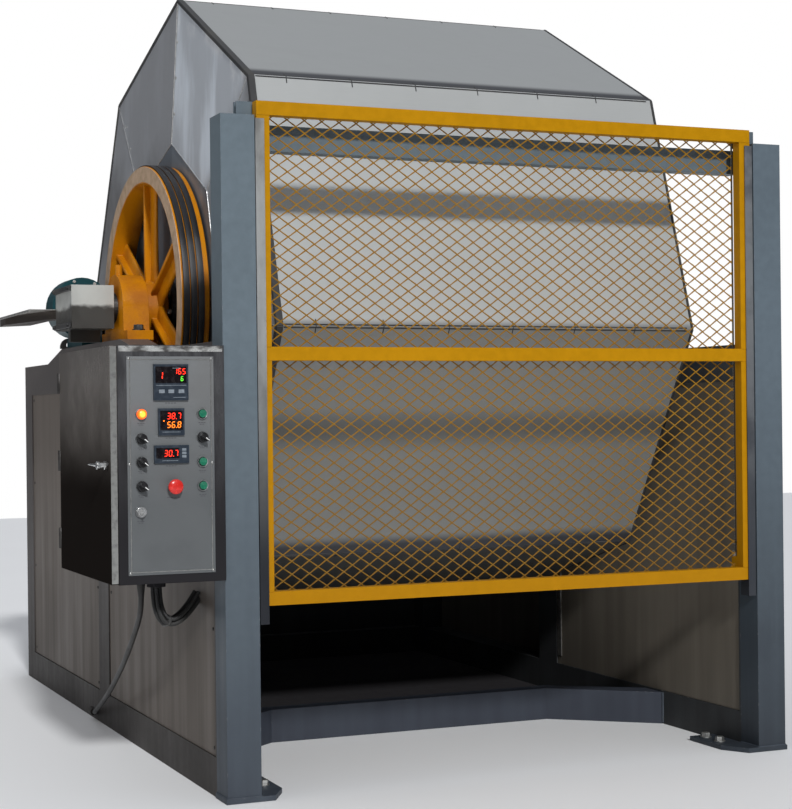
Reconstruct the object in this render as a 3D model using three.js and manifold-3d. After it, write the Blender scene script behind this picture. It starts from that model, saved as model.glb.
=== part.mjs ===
// Octagonal stainless tumbling drum machine with a counterweighted front guard, a belt drive and
// a control cabinet. Millimetres, +Z up. x runs along the drum's axle from the outer face of the
// left side frame, y runs back from the front faces of the posts, z runs up from the floor.
import * as THREE from "three";
import { mergeVertices } from "three/addons/utils/BufferGeometryUtils.js";
import Module from "manifold-3d";

const wasm = await Module();
wasm.setup();

// ---- driving dimensions ----
const WIDTH = 1820; // over both side frames
const DEPTH = 2520; // front of posts to back of side frames
const POST_HEIGHT = 1862;
const POST_W = 98;
const POST_D = 90;
const POST_WALL = 5;
const SIDE_HEIGHT = 1255; // top rail of the side frames
const PEDESTAL_TOP = 1305; // raised middle that carries the bearings
const RAIL = 110; // height of base rail and top rail
const MULLION = 133;
const FRAME_T = POST_W; // side frames are as wide as the posts
const AXLE_Y = DEPTH / 2;
const AXLE_Z = 1420;
const DRUM_R = 1042; // over the octagon's corners
const DRUM_SHEET = 6;
const DRUM_LEFT = 242;
const DRUM_RIGHT = 1650;
const DRUM_TURN = THREE.MathUtils.degToRad(6.2); // how far the drum stands turned
const BOSS_R = 560;
const BOSS_RISE = 12;
const AXLE_R = 50;
const AXLE_BORE_R = 38;
const PULLEY_R = 480;
const PULLEY_LEFT = 130;
const PULLEY_W = 96;
const MOTOR_PULLEY_R = 120;
const MOTOR_Y = DEPTH - 360;
const MOTOR_Z = 430;
const BELT_W = 20;
const BELT_H = 14;
const BELT_PITCH = 24;
const BELT_COUNT = 3;
const GUARD_BOTTOM = 530;
const GUARD_TOP = POST_HEIGHT + 47;
const GUARD_MID = 1219;
const GUARD_BAR = 38;
const GUARD_T = 32;
const GUIDE_BOTTOM = 480;
const CABINET_W = 317;
const CABINET_D = 574;
const CABINET_BOTTOM = 607;
const CABINET_TOP = 1240;
const SHEAVE_R = 27;
const ROPE_R = 3;
const GAP = 0.3; // between pieces that rest on each other
const FIT = 0.4; // radial clearance of a shaft in its bore

// ---- routes of the two leads, by hand: out of the cabinet's floor, down, and into the frame ----
const CONDUIT_ROUTE = [
  [-150, 150, 582.6], [-150, 150, 565], [-149, 151, 545], [-146, 155, 526], [-139, 162, 509],
  [-128, 172, 496], [-114, 184, 487], [-98, 197, 483], [-82, 209, 484], [-66, 220, 490],
  [-52, 229, 500], [-40, 237, 513], [-29, 243, 527], [-19, 248, 540], [-9, 250, 546],
  [-3, 250, 548], [3.4, 250, 548],
];
const CABLE_ROUTE = [
  [-165, 250, 582.6], [-165, 250, 566], [-164, 253, 548], [-162, 262, 528], [-158, 282, 506],
  [-151, 325, 474], [-142, 400, 428], [-130, 500, 372], [-117, 610, 316], [-103, 730, 260],
  [-89, 850, 208], [-75, 970, 160], [-62, 1080, 120], [-49, 1180, 87], [-37, 1265, 62],
  [-26, 1330, 43], [-16, 1368, 34], [-12, 1388, 30], [-12, 1399.7, 30],
];
const CONDUIT_D = 34;
const CABLE_D = 16;

// ---- finishes ----
const finish = (color, roughness, metalness) =>
  new THREE.MeshStandardMaterial({ color, roughness, metalness });
const FRAME_BLUE = () => finish(0x6b7680, 0.5, 0.1);
const GUARD_YELLOW = () => finish(0xd89a12, 0.45, 0.1);
const DRIVE_ORANGE = () => finish(0xd8860f, 0.45, 0.1);
const STAINLESS = () => finish(0xb9bcbc, 0.35, 0.9);
const PANEL_GREY = () => finish(0x8e877f, 0.55, 0.1);
const RUBBER = () => finish(0x17181a, 0.8, 0);
const DARK_STEEL = () => finish(0x3d3f42, 0.5, 0.6);
const BLACK_PLASTIC = () => finish(0x141517, 0.4, 0);
const FAN_TEAL = () => finish(0x124a50, 0.45, 0.1);

// ---- solids ----
/** A closed geometry as a solid that can be joined and cut. */
function solid(geometry) {
  const bare = geometry.index ? geometry.toNonIndexed() : geometry.clone();
  bare.deleteAttribute("normal");
  bare.deleteAttribute("uv");
  const merged = mergeVertices(bare, 1e-3);
  return new wasm.Manifold(
    new wasm.Mesh({
      numProp: 3,
      vertProperties: merged.attributes.position.array,
      triVerts: new Uint32Array(merged.index.array),
    }),
  );
}

/** The geometry of a joined or cut solid. */
function geometryOf(body) {
  const mesh = body.getMesh();
  const geometry = new THREE.BufferGeometry();
  geometry.setAttribute("position", new THREE.BufferAttribute(mesh.vertProperties, 3));
  geometry.setIndex(new THREE.BufferAttribute(mesh.triVerts, 1));
  geometry.computeVertexNormals();
  return geometry;
}

const join = (...bodies) => bodies.reduce((all, body) => all.add(body));
const cut = (body, ...tools) => tools.reduce((rest, tool) => rest.subtract(tool), body);

/** A block between two corners. */
function block(x0, x1, y0, y1, z0, z1) {
  const geometry = new THREE.BoxGeometry(x1 - x0, y1 - y0, z1 - z0);
  return solid(geometry.translate((x0 + x1) / 2, (y0 + y1) / 2, (z0 + z1) / 2));
}

/** A round bar along x, y or z between two ends, through the point (a, b) across it. */
function rod(axis, radius, from, to, a, b, sides = 32) {
  const geometry = new THREE.CylinderGeometry(radius, radius, to - from, sides);
  const middle = (from + to) / 2;
  if (axis === "x") geometry.rotateZ(-Math.PI / 2).translate(middle, a, b);
  if (axis === "y") geometry.translate(a, middle, b);
  if (axis === "z") geometry.rotateX(Math.PI / 2).translate(a, b, middle);
  return solid(geometry);
}

/** A closed profile of [radius, x] points turned about the x axis, with its first corner at turn. */
function turned(points, sides = 64, turn = 0) {
  const profile = points.map(([radius, x]) => new THREE.Vector2(radius, x));
  if (THREE.ShapeUtils.isClockWise(profile)) profile.reverse();
  profile.push(profile[0]);
  const geometry = new THREE.LatheGeometry(profile, sides, turn, Math.PI * 2);
  return solid(geometry.rotateZ(-Math.PI / 2));
}

const YZ_TO_X = new THREE.Matrix4().set(0, 0, 1, 0, 1, 0, 0, 0, 0, 1, 0, 0, 0, 0, 0, 1);
const XZ_TO_Y = new THREE.Matrix4().set(1, 0, 0, 0, 0, 0, -1, 0, 0, 1, 0, 0, 0, 0, 0, 1);

/** A flat outline made a plate: drawn in yz and set along x, in xz along y, or in xy along z. */
function plate(plane, outline, from, to, curveSegments = 12) {
  const points = (list) => list.map(([a, b]) => new THREE.Vector2(a, b));
  const shape = outline instanceof THREE.Shape ? outline : new THREE.Shape(points(outline));
  const geometry = new THREE.ExtrudeGeometry(shape, {
    depth: to - from,
    bevelEnabled: false,
    curveSegments,
  });
  if (plane === "yz") geometry.applyMatrix4(YZ_TO_X).translate(from, 0, 0);
  if (plane === "xz") geometry.applyMatrix4(XZ_TO_Y).translate(0, to, 0);
  if (plane === "xy") geometry.translate(0, 0, from);
  return solid(geometry);
}

/** The same solid on the other side: x is mirrored about the middle of the machine. */
function mirrored(body) {
  const mesh = body.getMesh();
  const points = mesh.vertProperties.slice();
  for (let i = 0; i < points.length; i += 3) points[i] = WIDTH - points[i];
  const faces = mesh.triVerts.slice();
  for (let i = 0; i < faces.length; i += 3) [faces[i], faces[i + 1]] = [faces[i + 1], faces[i]];
  return new wasm.Manifold(new wasm.Mesh({ numProp: 3, vertProperties: points, triVerts: faces }));
}

const machine = new THREE.Group();

/** Names a solid, gives it its finish and hangs it in the machine or in one of its groups. */
function piece(name, body, material, group = machine) {
  const mesh = new THREE.Mesh(geometryOf(body), material);
  mesh.name = name;
  group.add(mesh);
  return mesh;
}

/** One piece on the left and its mirror image on the right. */
function pair(name, body, material) {
  piece("left_" + name, body, material());
  piece("right_" + name, mirrored(body), material());
}

// ---- side frames: welded base rail, top rail, mullion and rear post, with two windows ----
const windowFront = [POST_D + 8, AXLE_Y + 40 - MULLION / 2];
const windowRear = [AXLE_Y + 40 + MULLION / 2, DEPTH - 121];
const windowZ = [RAIL, SIDE_HEIGHT - 115];
const PEDESTAL_REAR = 611; // the raised top's reach behind the axle, under the fan
const BEARING_HALF_BASE = 165; // half the length of a plummer block's base
const PEDESTAL_FRONT = BEARING_HALF_BASE + 40; // and in front of it, just past the plummer block
const PEDESTAL_RUN = 236; // length of the slope at each end

function sideFrame() {
  const front = POST_D + GAP;
  const outline = [
    [front, 0],
    [DEPTH, 0],
    [DEPTH, SIDE_HEIGHT],
    [AXLE_Y + PEDESTAL_REAR + PEDESTAL_RUN, SIDE_HEIGHT],
    [AXLE_Y + PEDESTAL_REAR, PEDESTAL_TOP],
    [AXLE_Y - PEDESTAL_FRONT, PEDESTAL_TOP],
    [AXLE_Y - PEDESTAL_FRONT - PEDESTAL_RUN, SIDE_HEIGHT],
    [front, SIDE_HEIGHT],
  ];
  const windows = [windowFront, windowRear].map(([y0, y1]) => block(-1, FRAME_T + 1, y0, y1, ...windowZ));
  return cut(plate("yz", outline, 0, FRAME_T), ...windows);
}

/** A lug with an eye, welded on the left pedestal for lifting that side. */
function liftingLug() {
  const seat = PEDESTAL_TOP - 1;
  const shape = new THREE.Shape();
  shape.moveTo(-13, seat);
  shape.lineTo(53, seat);
  shape.absarc(20, seat + 6, 33, 0, Math.PI, false);
  const hole = new THREE.Path();
  hole.absarc(20, seat + 14, 12, 0, Math.PI * 2, true);
  shape.holes.push(hole);
  return plate("xz", shape, AXLE_Y + 572, AXLE_Y + 588, 12);
}
const [cableX, cableY, cableZ] = CABLE_ROUTE.at(-1);
const cableEntry = rod("y", CABLE_D / 2 + 5, cableY + GAP, cableY + GAP + 40, cableX, cableZ, 20);
piece("left_side_frame", join(sideFrame(), liftingLug(), cableEntry), FRAME_BLUE());
piece("right_side_frame", mirrored(sideFrame()), FRAME_BLUE());

/** A sheet that fills a side-frame window at a given x. */
function windowSheet([y0, y1], x, thick) {
  return block(x, x + thick, y0 + GAP, y1 - GAP, windowZ[0] + GAP, windowZ[1] - GAP);
}
const SHEET = 3;
const SHEET_INSET = 4;
piece("left_panel_front", windowSheet(windowFront, SHEET_INSET, SHEET), PANEL_GREY());
piece("left_panel_rear", windowSheet(windowRear, SHEET_INSET, SHEET), PANEL_GREY());
piece("right_panel_front", mirrored(windowSheet(windowFront, SHEET_INSET, SHEET)), PANEL_GREY());
piece("right_panel_rear", mirrored(windowSheet(windowRear, SHEET_INSET, SHEET)), PANEL_GREY());
const innerSheet = windowSheet(windowFront, FRAME_T - SHEET - SHEET_INSET, SHEET);
piece("right_inner_panel", mirrored(innerSheet), PANEL_GREY());

// ---- front posts: box tube with a foot plate, a cap and the two cheeks of the sheave bracket ----
const FOOT_T = 14;
const FOOT_LIP = 4;
const FOOT_OUT = 185;
const FOOT_BACK = 241;
const CAP_T = 6;
const CHEEK_T = 4;
const CHEEK_TOP = POST_HEIGHT + 50;
const ROPE_X = POST_W + 37;
const ROPE_Y = 60;
const SHEAVE_X = ROPE_X - SHEAVE_R;
const SHEAVE_Z = POST_HEIGHT + 23;
const SHEAVE_W = 14;
const SHEAVE_PIN_R = 6;

function frontPost() {
  const foot = plate("xy", [
    [-FOOT_LIP, -FOOT_LIP],
    [FOOT_OUT - 48, -FOOT_LIP],
    [FOOT_OUT, 75],
    [FOOT_OUT, FOOT_BACK],
    [POST_W + GAP, FOOT_BACK],
    [POST_W + GAP, POST_D],
    [-FOOT_LIP, POST_D],
  ], 0, FOOT_T);
  const tube = block(0, POST_W, 0, POST_D, 0, POST_HEIGHT + CAP_T);
  const bore = block(POST_WALL, POST_W - POST_WALL, POST_WALL, POST_D - POST_WALL, FOOT_T, POST_HEIGHT);
  const ropeSlot = block(SHEAVE_X - SHEAVE_R - 8, POST_W + 1, ROPE_Y - 8.5, ROPE_Y + 8.5,
    SHEAVE_Z - SHEAVE_R - 6, POST_HEIGHT + CAP_T + 1);
  const halfStub = SHEAVE_W / 2 + 1.5;
  const axleStub = rod("y", SHEAVE_PIN_R, ROPE_Y - halfStub, ROPE_Y + halfStub, SHEAVE_X, SHEAVE_Z, 20);
  const cheeks = [-1, 1].map((side) => {
    const inner = ROPE_Y + side * (SHEAVE_W / 2 + 1);
    const outer = inner + side * CHEEK_T;
    return block(SHEAVE_X - 46, SHEAVE_X + 14, Math.min(inner, outer), Math.max(inner, outer),
      POST_HEIGHT + CAP_T - 1, CHEEK_TOP);
  });
  return join(cut(tube, bore, ropeSlot), foot, ...cheeks, axleStub);
}
pair("front_post", frontPost(), FRAME_BLUE);

// ---- sheaves, ropes and counterweights of the guard ----
function sheave() {
  const wheel = turned([
    [SHEAVE_PIN_R + FIT, -SHEAVE_W / 2],
    [SHEAVE_R + 4, -SHEAVE_W / 2],
    [SHEAVE_R + 4, -4.5],
    [SHEAVE_R - ROPE_R - 0.6, -3.5],
    [SHEAVE_R - ROPE_R - 0.6, 3.5],
    [SHEAVE_R + 4, 4.5],
    [SHEAVE_R + 4, SHEAVE_W / 2],
    [SHEAVE_PIN_R + FIT, SHEAVE_W / 2],
  ], 24);
  return geometryOf(wheel).rotateZ(Math.PI / 2);
}
for (const [side, x] of [["left", SHEAVE_X], ["right", WIDTH - SHEAVE_X]]) {
  const wheel = new THREE.Mesh(sheave(), DARK_STEEL());
  wheel.name = side + "_sheave";
  wheel.position.set(x, ROPE_Y, SHEAVE_Z);
  machine.add(wheel);
}
const LUG_Z = [GUARD_BOTTOM + 30, GUARD_BOTTOM + 70];
pair("lift_rope", rod("z", ROPE_R, LUG_Z[1] + GAP, SHEAVE_Z - 1, ROPE_X, ROPE_Y, 10), DARK_STEEL);
const WEIGHT = { x: 14, y: 15, top: POST_HEIGHT - 90, height: 320 };
pair("counterweight",
  block(WEIGHT.x, POST_W - WEIGHT.x, WEIGHT.y, POST_D - WEIGHT.y, WEIGHT.top - WEIGHT.height, WEIGHT.top),
  DARK_STEEL);

// ---- lintel between the posts, base cross-member with knees, rear bulkhead ----
const INSIDE = [FRAME_T + GAP, WIDTH - FRAME_T - GAP];
const LINTEL_H = 72;
piece("front_lintel",
  block(...INSIDE, POST_D - 8, POST_D + 40, POST_HEIGHT - 6 - LINTEL_H, POST_HEIGHT - 6), FRAME_BLUE());

const CROSS = { y: 765, bend: 310, foot: 525, thick: 60, height: 105 };
function frontCrossmember() {
  const knee = CROSS.y - CROSS.foot;
  const slant = CROSS.thick * 0.75;
  return plate("xy", [
    [INSIDE[0], CROSS.foot],
    [INSIDE[0] + CROSS.bend, CROSS.foot + knee],
    [INSIDE[1] - CROSS.bend, CROSS.foot + knee],
    [INSIDE[1], CROSS.foot],
    [INSIDE[1], CROSS.foot + CROSS.thick + slant],
    [INSIDE[1] - CROSS.bend + slant / 2, CROSS.y + CROSS.thick],
    [INSIDE[0] + CROSS.bend - slant / 2, CROSS.y + CROSS.thick],
    [INSIDE[0], CROSS.foot + CROSS.thick + slant],
  ], 0, CROSS.height);
}
piece("front_crossmember", frontCrossmember(), FRAME_BLUE());

function rearBulkhead() {
  const back = DEPTH - 20;
  const sheet = block(...INSIDE, back - SHEET, back, 20, SIDE_HEIGHT - 20);
  const lower = block(...INSIDE, back - 60, back, 0, RAIL);
  const upper = block(...INSIDE, back - 60, back, SIDE_HEIGHT - 80, SIDE_HEIGHT);
  return join(sheet, lower, upper);
}
piece("rear_bulkhead", rearBulkhead(), FRAME_BLUE());

// ---- plummer blocks on the pedestals, each with a grease cup ----
const BEARING = { x0: 38, x1: 127, halfBase: BEARING_HALF_BASE, baseH: 32, capR: 112, boreGap: 1 };
function bearingBlock() {
  const seat = PEDESTAL_TOP + GAP;
  const shape = new THREE.Shape();
  shape.moveTo(AXLE_Y - BEARING.halfBase, seat);
  shape.lineTo(AXLE_Y + BEARING.halfBase, seat);
  shape.lineTo(AXLE_Y + BEARING.halfBase, seat + BEARING.baseH);
  shape.lineTo(AXLE_Y + BEARING.capR + 8, seat + BEARING.baseH);
  shape.lineTo(AXLE_Y + BEARING.capR, AXLE_Z);
  shape.absarc(AXLE_Y, AXLE_Z, BEARING.capR, 0, Math.PI, false);
  shape.lineTo(AXLE_Y - BEARING.capR - 8, seat + BEARING.baseH);
  shape.lineTo(AXLE_Y - BEARING.halfBase, seat + BEARING.baseH);
  const housing = plate("yz", shape, BEARING.x0, BEARING.x1, 24);
  const cup = rod("z", 12, AXLE_Z + BEARING.capR - 4, AXLE_Z + BEARING.capR + 34,
    BEARING.x0 + 17, AXLE_Y, 16);
  const bore = rod("x", AXLE_R + BEARING.boreGap, 0, FRAME_T + 80, AXLE_Y, AXLE_Z, 32);
  return cut(join(housing, cup), bore);
}
pair("bearing_block", bearingBlock(), DRIVE_ORANGE);

// ---- drum: octagonal shell, end plates with raised bosses, hollow stub axles, door ----
const drum = new THREE.Group();
drum.position.set(0, AXLE_Y, AXLE_Z);
machine.add(drum);
const OCTAGON = 8;
const FLAT_R = DRUM_R * Math.cos(Math.PI / OCTAGON);
const DOOR_PANEL = 6; // the flat between corners 6 and 7 carries the door
const DOOR_ANGLE = DRUM_TURN + ((DOOR_PANEL + 0.5) * Math.PI) / 4;
const DOOR_OPENING = { length: 700, width: 480 };
const DOOR = { length: 760, width: 540, thick: 8 };
const DRUM_MIDDLE = (DRUM_LEFT + DRUM_RIGHT) / 2;

/** A block laid on the flat that carries the door: t runs along the flat, h out from the axle. */
function onDoorFlat(x0, x1, t0, t1, h0, h1) {
  const geometry = new THREE.BoxGeometry(x1 - x0, t1 - t0, h1 - h0);
  geometry.translate((x0 + x1) / 2, (t0 + t1) / 2, (h0 + h1) / 2).rotateX(DOOR_ANGLE);
  return solid(geometry);
}

function drumShell() {
  const x0 = DRUM_LEFT + DRUM_SHEET + GAP;
  const x1 = DRUM_RIGHT - DRUM_SHEET - GAP;
  const inner = DRUM_R - DRUM_SHEET;
  const tube = turned([[inner, x0], [DRUM_R, x0], [DRUM_R, x1], [inner, x1]], OCTAGON, DRUM_TURN);
  const opening = onDoorFlat(DRUM_MIDDLE - DOOR_OPENING.length / 2, DRUM_MIDDLE + DOOR_OPENING.length / 2,
    -DOOR_OPENING.width / 2, DOOR_OPENING.width / 2, FLAT_R - 60, FLAT_R + 60);
  return cut(tube, opening);
}
piece("drum_shell", drumShell(), STAINLESS(), drum);

/** An octagonal end plate, slightly domed up to a flat boss, with the axle's air bore. */
function drumEnd(rimX, out) {
  const boss = rimX + out * BOSS_RISE;
  const back = -out * DRUM_SHEET;
  const points = [
    [AXLE_BORE_R, boss],
    [BOSS_R, boss],
    [DRUM_R, rimX],
    [DRUM_R, rimX + back],
    [BOSS_R, boss + back],
    [AXLE_BORE_R, boss + back],
  ];
  return turned(points, OCTAGON, DRUM_TURN);
}
piece("drum_end_left", drumEnd(DRUM_LEFT, -1), STAINLESS(), drum);
piece("drum_end_right", drumEnd(DRUM_RIGHT, 1), STAINLESS(), drum);

const FLANGE = { r: 112, thick: 18 };
const AXLE_END = 24; // how far the stub axles stop short of the frames' outer faces
function stubAxle(rimX, out, tip) {
  const face = rimX + out * (BOSS_RISE + GAP);
  const points = [
    [AXLE_BORE_R, face],
    [AXLE_BORE_R, tip],
    [AXLE_R, tip],
    [AXLE_R, face + out * FLANGE.thick],
    [FLANGE.r, face + out * FLANGE.thick],
    [FLANGE.r, face],
  ];
  return turned(points, 32);
}
piece("left_stub_axle", stubAxle(DRUM_LEFT, -1, AXLE_END), DARK_STEEL(), drum);
piece("right_stub_axle", stubAxle(DRUM_RIGHT, 1, WIDTH - AXLE_END), DARK_STEEL(), drum);

const doorTop = FLAT_R + GAP;
function drumDoor() {
  const x0 = DRUM_MIDDLE - DOOR.length / 2;
  const x1 = DRUM_MIDDLE + DOOR.length / 2;
  const lid = onDoorFlat(x0, x1, -DOOR.width / 2, DOOR.width / 2, doorTop, doorTop + DOOR.thick);
  const handles = [-1, 1].map((side) => {
    const middle = DRUM_MIDDLE + side * 240;
    return onDoorFlat(middle - 60, middle + 60, -DOOR.width / 2 + 20, -DOOR.width / 2 + 44,
      doorTop + DOOR.thick - 1, doorTop + DOOR.thick + 26);
  });
  return join(lid, ...handles);
}
piece("drum_door", drumDoor(), STAINLESS(), drum);

// ---- belt drive: big pulley on the left stub axle, three belts, motor pulley, gearmotor ----
const beltX = (i) => PULLEY_LEFT + 16 + i * BELT_PITCH;
const BELT_OUT_R = PULLEY_R + 4;
const GROOVE = { side: 0.5, floor: 1.6 };

/** A pulley rim's outer profile from its left to its right face, with a groove for each belt. */
function groovedEdge(radius) {
  const edge = [];
  const floor = radius + 4 - BELT_H - GROOVE.floor;
  for (let i = 0; i < BELT_COUNT; i += 1) {
    const left = beltX(i) - BELT_W / 2 - GROOVE.side;
    const right = beltX(i) + BELT_W / 2 + GROOVE.side;
    edge.push([radius, left], [floor, left], [floor, right], [radius, right]);
  }
  return edge;
}

const RIM_INNER = PULLEY_R - 56;
const HUB = { r: 92, left: PULLEY_LEFT, right: PULLEY_LEFT + 92 };
const PULLEY_RIGHT = PULLEY_LEFT + PULLEY_W;
const ARMS = 6;
function drumPulley() {
  const rim = turned([
    [RIM_INNER, PULLEY_LEFT],
    [PULLEY_R, PULLEY_LEFT],
    ...groovedEdge(PULLEY_R),
    [PULLEY_R, PULLEY_RIGHT - 4],
    [RIM_INNER, PULLEY_RIGHT - 4],
  ], 64);
  const hub = turned([
    [AXLE_R + FIT, HUB.left + 1],
    [HUB.r, HUB.left + 1],
    [HUB.r, HUB.right - 14],
    [AXLE_R + FIT, HUB.right - 14],
  ], 32);
  const webX = PULLEY_LEFT + PULLEY_W / 2;
  const arms = Array.from({ length: ARMS }, (_, i) => {
    const geometry = new THREE.BoxGeometry(22, 74, RIM_INNER - HUB.r + 16);
    geometry.translate(webX, 0, (RIM_INNER + HUB.r) / 2).rotateX((i * 2 * Math.PI) / ARMS);
    return solid(geometry);
  });
  return join(rim, hub, ...arms);
}
piece("drum_pulley", drumPulley(), DRIVE_ORANGE(), drum);

/** One belt round both pulleys: a stadium with ends of two sizes, as an outline in yz. */
function beltOutline(big, small) {
  const reach = Math.hypot(MOTOR_Y - AXLE_Y, MOTOR_Z - AXLE_Z);
  const line = Math.atan2(MOTOR_Z - AXLE_Z, MOTOR_Y - AXLE_Y);
  const lean = Math.acos((big - small) / reach);
  const path = new THREE.Path();
  path.absarc(AXLE_Y, AXLE_Z, big, line + lean, line - lean + 2 * Math.PI, false);
  path.absarc(MOTOR_Y, MOTOR_Z, small, line - lean, line + lean, false);
  return path.getPoints(26);
}
for (let i = 0; i < BELT_COUNT; i += 1) {
  const small = MOTOR_PULLEY_R + 4;
  const outline = new THREE.Shape(beltOutline(BELT_OUT_R, small));
  outline.holes.push(new THREE.Path(beltOutline(BELT_OUT_R - BELT_H, small - BELT_H)));
  const x0 = beltX(i) - BELT_W / 2;
  piece("v_belt_" + (i + 1), plate("yz", outline, x0, x0 + BELT_W), RUBBER());
}

const SHAFT_R = 30;
const motorSide = new THREE.Group();
motorSide.position.set(0, MOTOR_Y, MOTOR_Z);
machine.add(motorSide);
piece("motor_pulley", turned([
  [SHAFT_R + FIT, PULLEY_LEFT],
  [MOTOR_PULLEY_R, PULLEY_LEFT],
  ...groovedEdge(MOTOR_PULLEY_R),
  [MOTOR_PULLEY_R, PULLEY_RIGHT - 4],
  [SHAFT_R + FIT, PULLEY_RIGHT - 4],
], 32), DRIVE_ORANGE(), motorSide);

const GEARBOX = { x0: 250, x1: 430, y: 120, z0: -130, z1: 130 };
const MOTOR = { r: 105, x1: 790 };
function gearmotor() {
  const shaft = rod("x", SHAFT_R - FIT, PULLEY_LEFT + 4, GEARBOX.x0 + 5, 0, 0, 32);
  const gearbox = block(GEARBOX.x0, GEARBOX.x1, -GEARBOX.y, GEARBOX.y, GEARBOX.z0, GEARBOX.z1);
  const motor = rod("x", MOTOR.r, GEARBOX.x1 - 5, MOTOR.x1, 0, 10, 40);
  const stand = block(GEARBOX.x0, MOTOR.x1 - 60, -150, 150, -MOTOR_Z, GEARBOX.z0 + 4);
  const cradle = block(MOTOR.x1 - 260, MOTOR.x1 - 120, -90, 90, GEARBOX.z0, -40);
  return join(shaft, gearbox, motor, stand, cradle);
}
piece("gearmotor", gearmotor(), DARK_STEEL(), motorSide);

// ---- guide rails: stainless channels on the posts that hold the guard's stiles ----
const GUIDE = { x0: POST_W + 3, w: 26, y0: 2, y1: 44, t: 3 };
function guideRail() {
  const x1 = GUIDE.x0 + GUIDE.w;
  const channel = block(GUIDE.x0, x1, GUIDE.y0, GUIDE.y1, GUIDE_BOTTOM, POST_HEIGHT - 2);
  const inside = block(GUIDE.x0 + GUIDE.t, x1 + 1, GUIDE.y0 + GUIDE.t, GUIDE.y1 - GUIDE.t,
    GUARD_BOTTOM - GAP, POST_HEIGHT);
  const lugs = [0.08, 0.5, 0.92].map((share) => {
    const z = GUIDE_BOTTOM + share * (POST_HEIGHT - GUIDE_BOTTOM);
    return block(POST_W + GAP, GUIDE.x0 + 1, 12, 34, z - 15, z + 15);
  });
  return join(cut(channel, inside), ...lugs);
}
pair("guide_rail", guideRail(), STAINLESS);

// ---- guard: welded frame with a middle rail, lift lugs and one sheet of mesh behind it ----
const STILE_X = GUIDE.x0 + GUIDE.t + 2;
const GUARD_Y = [GUIDE.y0 + GUIDE.t + 2, GUIDE.y0 + GUIDE.t + 2 + GUARD_T];
function guardFrame() {
  const inner = [STILE_X + GUARD_BAR, WIDTH - STILE_X - GUARD_BAR];
  const slab = block(STILE_X, WIDTH - STILE_X, ...GUARD_Y, GUARD_BOTTOM, GUARD_TOP);
  const fields = [
    [GUARD_BOTTOM + GUARD_BAR, GUARD_MID - GUARD_BAR / 2],
    [GUARD_MID + GUARD_BAR / 2, GUARD_TOP - GUARD_BAR],
  ].map(([z0, z1]) => block(...inner, GUARD_Y[0] - 1, GUARD_Y[1] + 1, z0, z1));
  const lug = block(GUIDE.x0 + GUIDE.w + 1, STILE_X + GUARD_BAR, GUARD_Y[1] - 1, ROPE_Y + 6, ...LUG_Z);
  return join(cut(slab, ...fields), lug, mirrored(lug));
}
piece("guard_frame", guardFrame(), GUARD_YELLOW());
const MESH_T = 3;
piece("guard_mesh", block(STILE_X + GUARD_BAR + 6, WIDTH - STILE_X - GUARD_BAR - 6,
  GUARD_Y[1] + GAP, GUARD_Y[1] + GAP + MESH_T, GUARD_BOTTOM + 12, GUARD_TOP - 12), GUARD_YELLOW());

// ---- control cabinet on the left side frame: shell, door on its left face, latch, plate ----
const cabinet = new THREE.Group();
cabinet.position.set(-CABINET_W, -10, CABINET_BOTTOM);
machine.add(cabinet);
const CABINET_H = CABINET_TOP - CABINET_BOTTOM;
const DOOR_T = 20;
const CABINET_WALL = 3;
const PLATE_T = 2;
const FRONT_Y = -PLATE_T - GAP; // front of the instrument plate, from the cabinet's front wall
const HOLE_R = 11.6;
const COLLAR = { r: 15.5, h: 5 };

// Places on the front wall: [x, z] from the cabinet's lower left corner.
const METERS = [
  { name: "meter_top", x: 165, z: 534, w: 96, h: 96 },
  { name: "meter_middle", x: 165, z: 429, w: 72, h: 72 },
  { name: "meter_bottom", x: 165, z: 343, w: 96, h: 48 },
];
const COLUMN_LEFT = 83;
const COLUMN_RIGHT = 252;
const LAMP = [COLUMN_LEFT, 450];
const KNOBS = [[COLUMN_LEFT, 385], [COLUMN_LEFT, 323], [COLUMN_LEFT, 259], [COLUMN_RIGHT, 387]];
const BUTTONS = [[COLUMN_RIGHT, 450], [COLUMN_RIGHT, 322], [COLUMN_RIGHT, 258]];
const STOP = [171, 257];
const KEY_SWITCH = [COLUMN_LEFT - 3, 191];
const CONTROLS = [LAMP, ...KNOBS, ...BUTTONS, STOP, KEY_SWITCH];
const METER_BODY = 4; // how much smaller each meter's body is than its bezel, all round

function panelCutouts(y0, y1) {
  const holes = CONTROLS.map(([x, z]) => rod("y", HOLE_R, y0, y1, x, z, 12));
  const windows = METERS.map(({ x, z, w, h }) => {
    const halfW = w / 2 - METER_BODY + 1;
    const halfH = h / 2 - METER_BODY + 1;
    return block(x - halfW, x + halfW, y0, y1, z - halfH, z + halfH);
  });
  return [...holes, ...windows];
}

/** The place of a lead's gland under the cabinet, in the cabinet's own frame. */
const glandAt = ([x, y]) => [x - cabinet.position.x, y - cabinet.position.y];
const GLAND_H = 24;
function cabinetBody() {
  const shell = block(DOOR_T + GAP, CABINET_W - GAP, 0, CABINET_D, 0, CABINET_H);
  const inside = block(DOOR_T - 1, CABINET_W - GAP - CABINET_WALL, CABINET_WALL, CABINET_D - CABINET_WALL,
    CABINET_WALL, CABINET_H - CABINET_WALL);
  const conduitGland = rod("z", CONDUIT_D / 2 + 9, -GLAND_H, 1, ...glandAt(CONDUIT_ROUTE[0]), 24);
  const cableGland = rod("z", CABLE_D / 2 + 7, -GLAND_H, 1, ...glandAt(CABLE_ROUTE[0]), 20);
  return join(cut(shell, inside, ...panelCutouts(-1, CABINET_WALL + 1)), conduitGland, cableGland);
}
piece("cabinet_body", cabinetBody(), STAINLESS(), cabinet);
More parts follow.
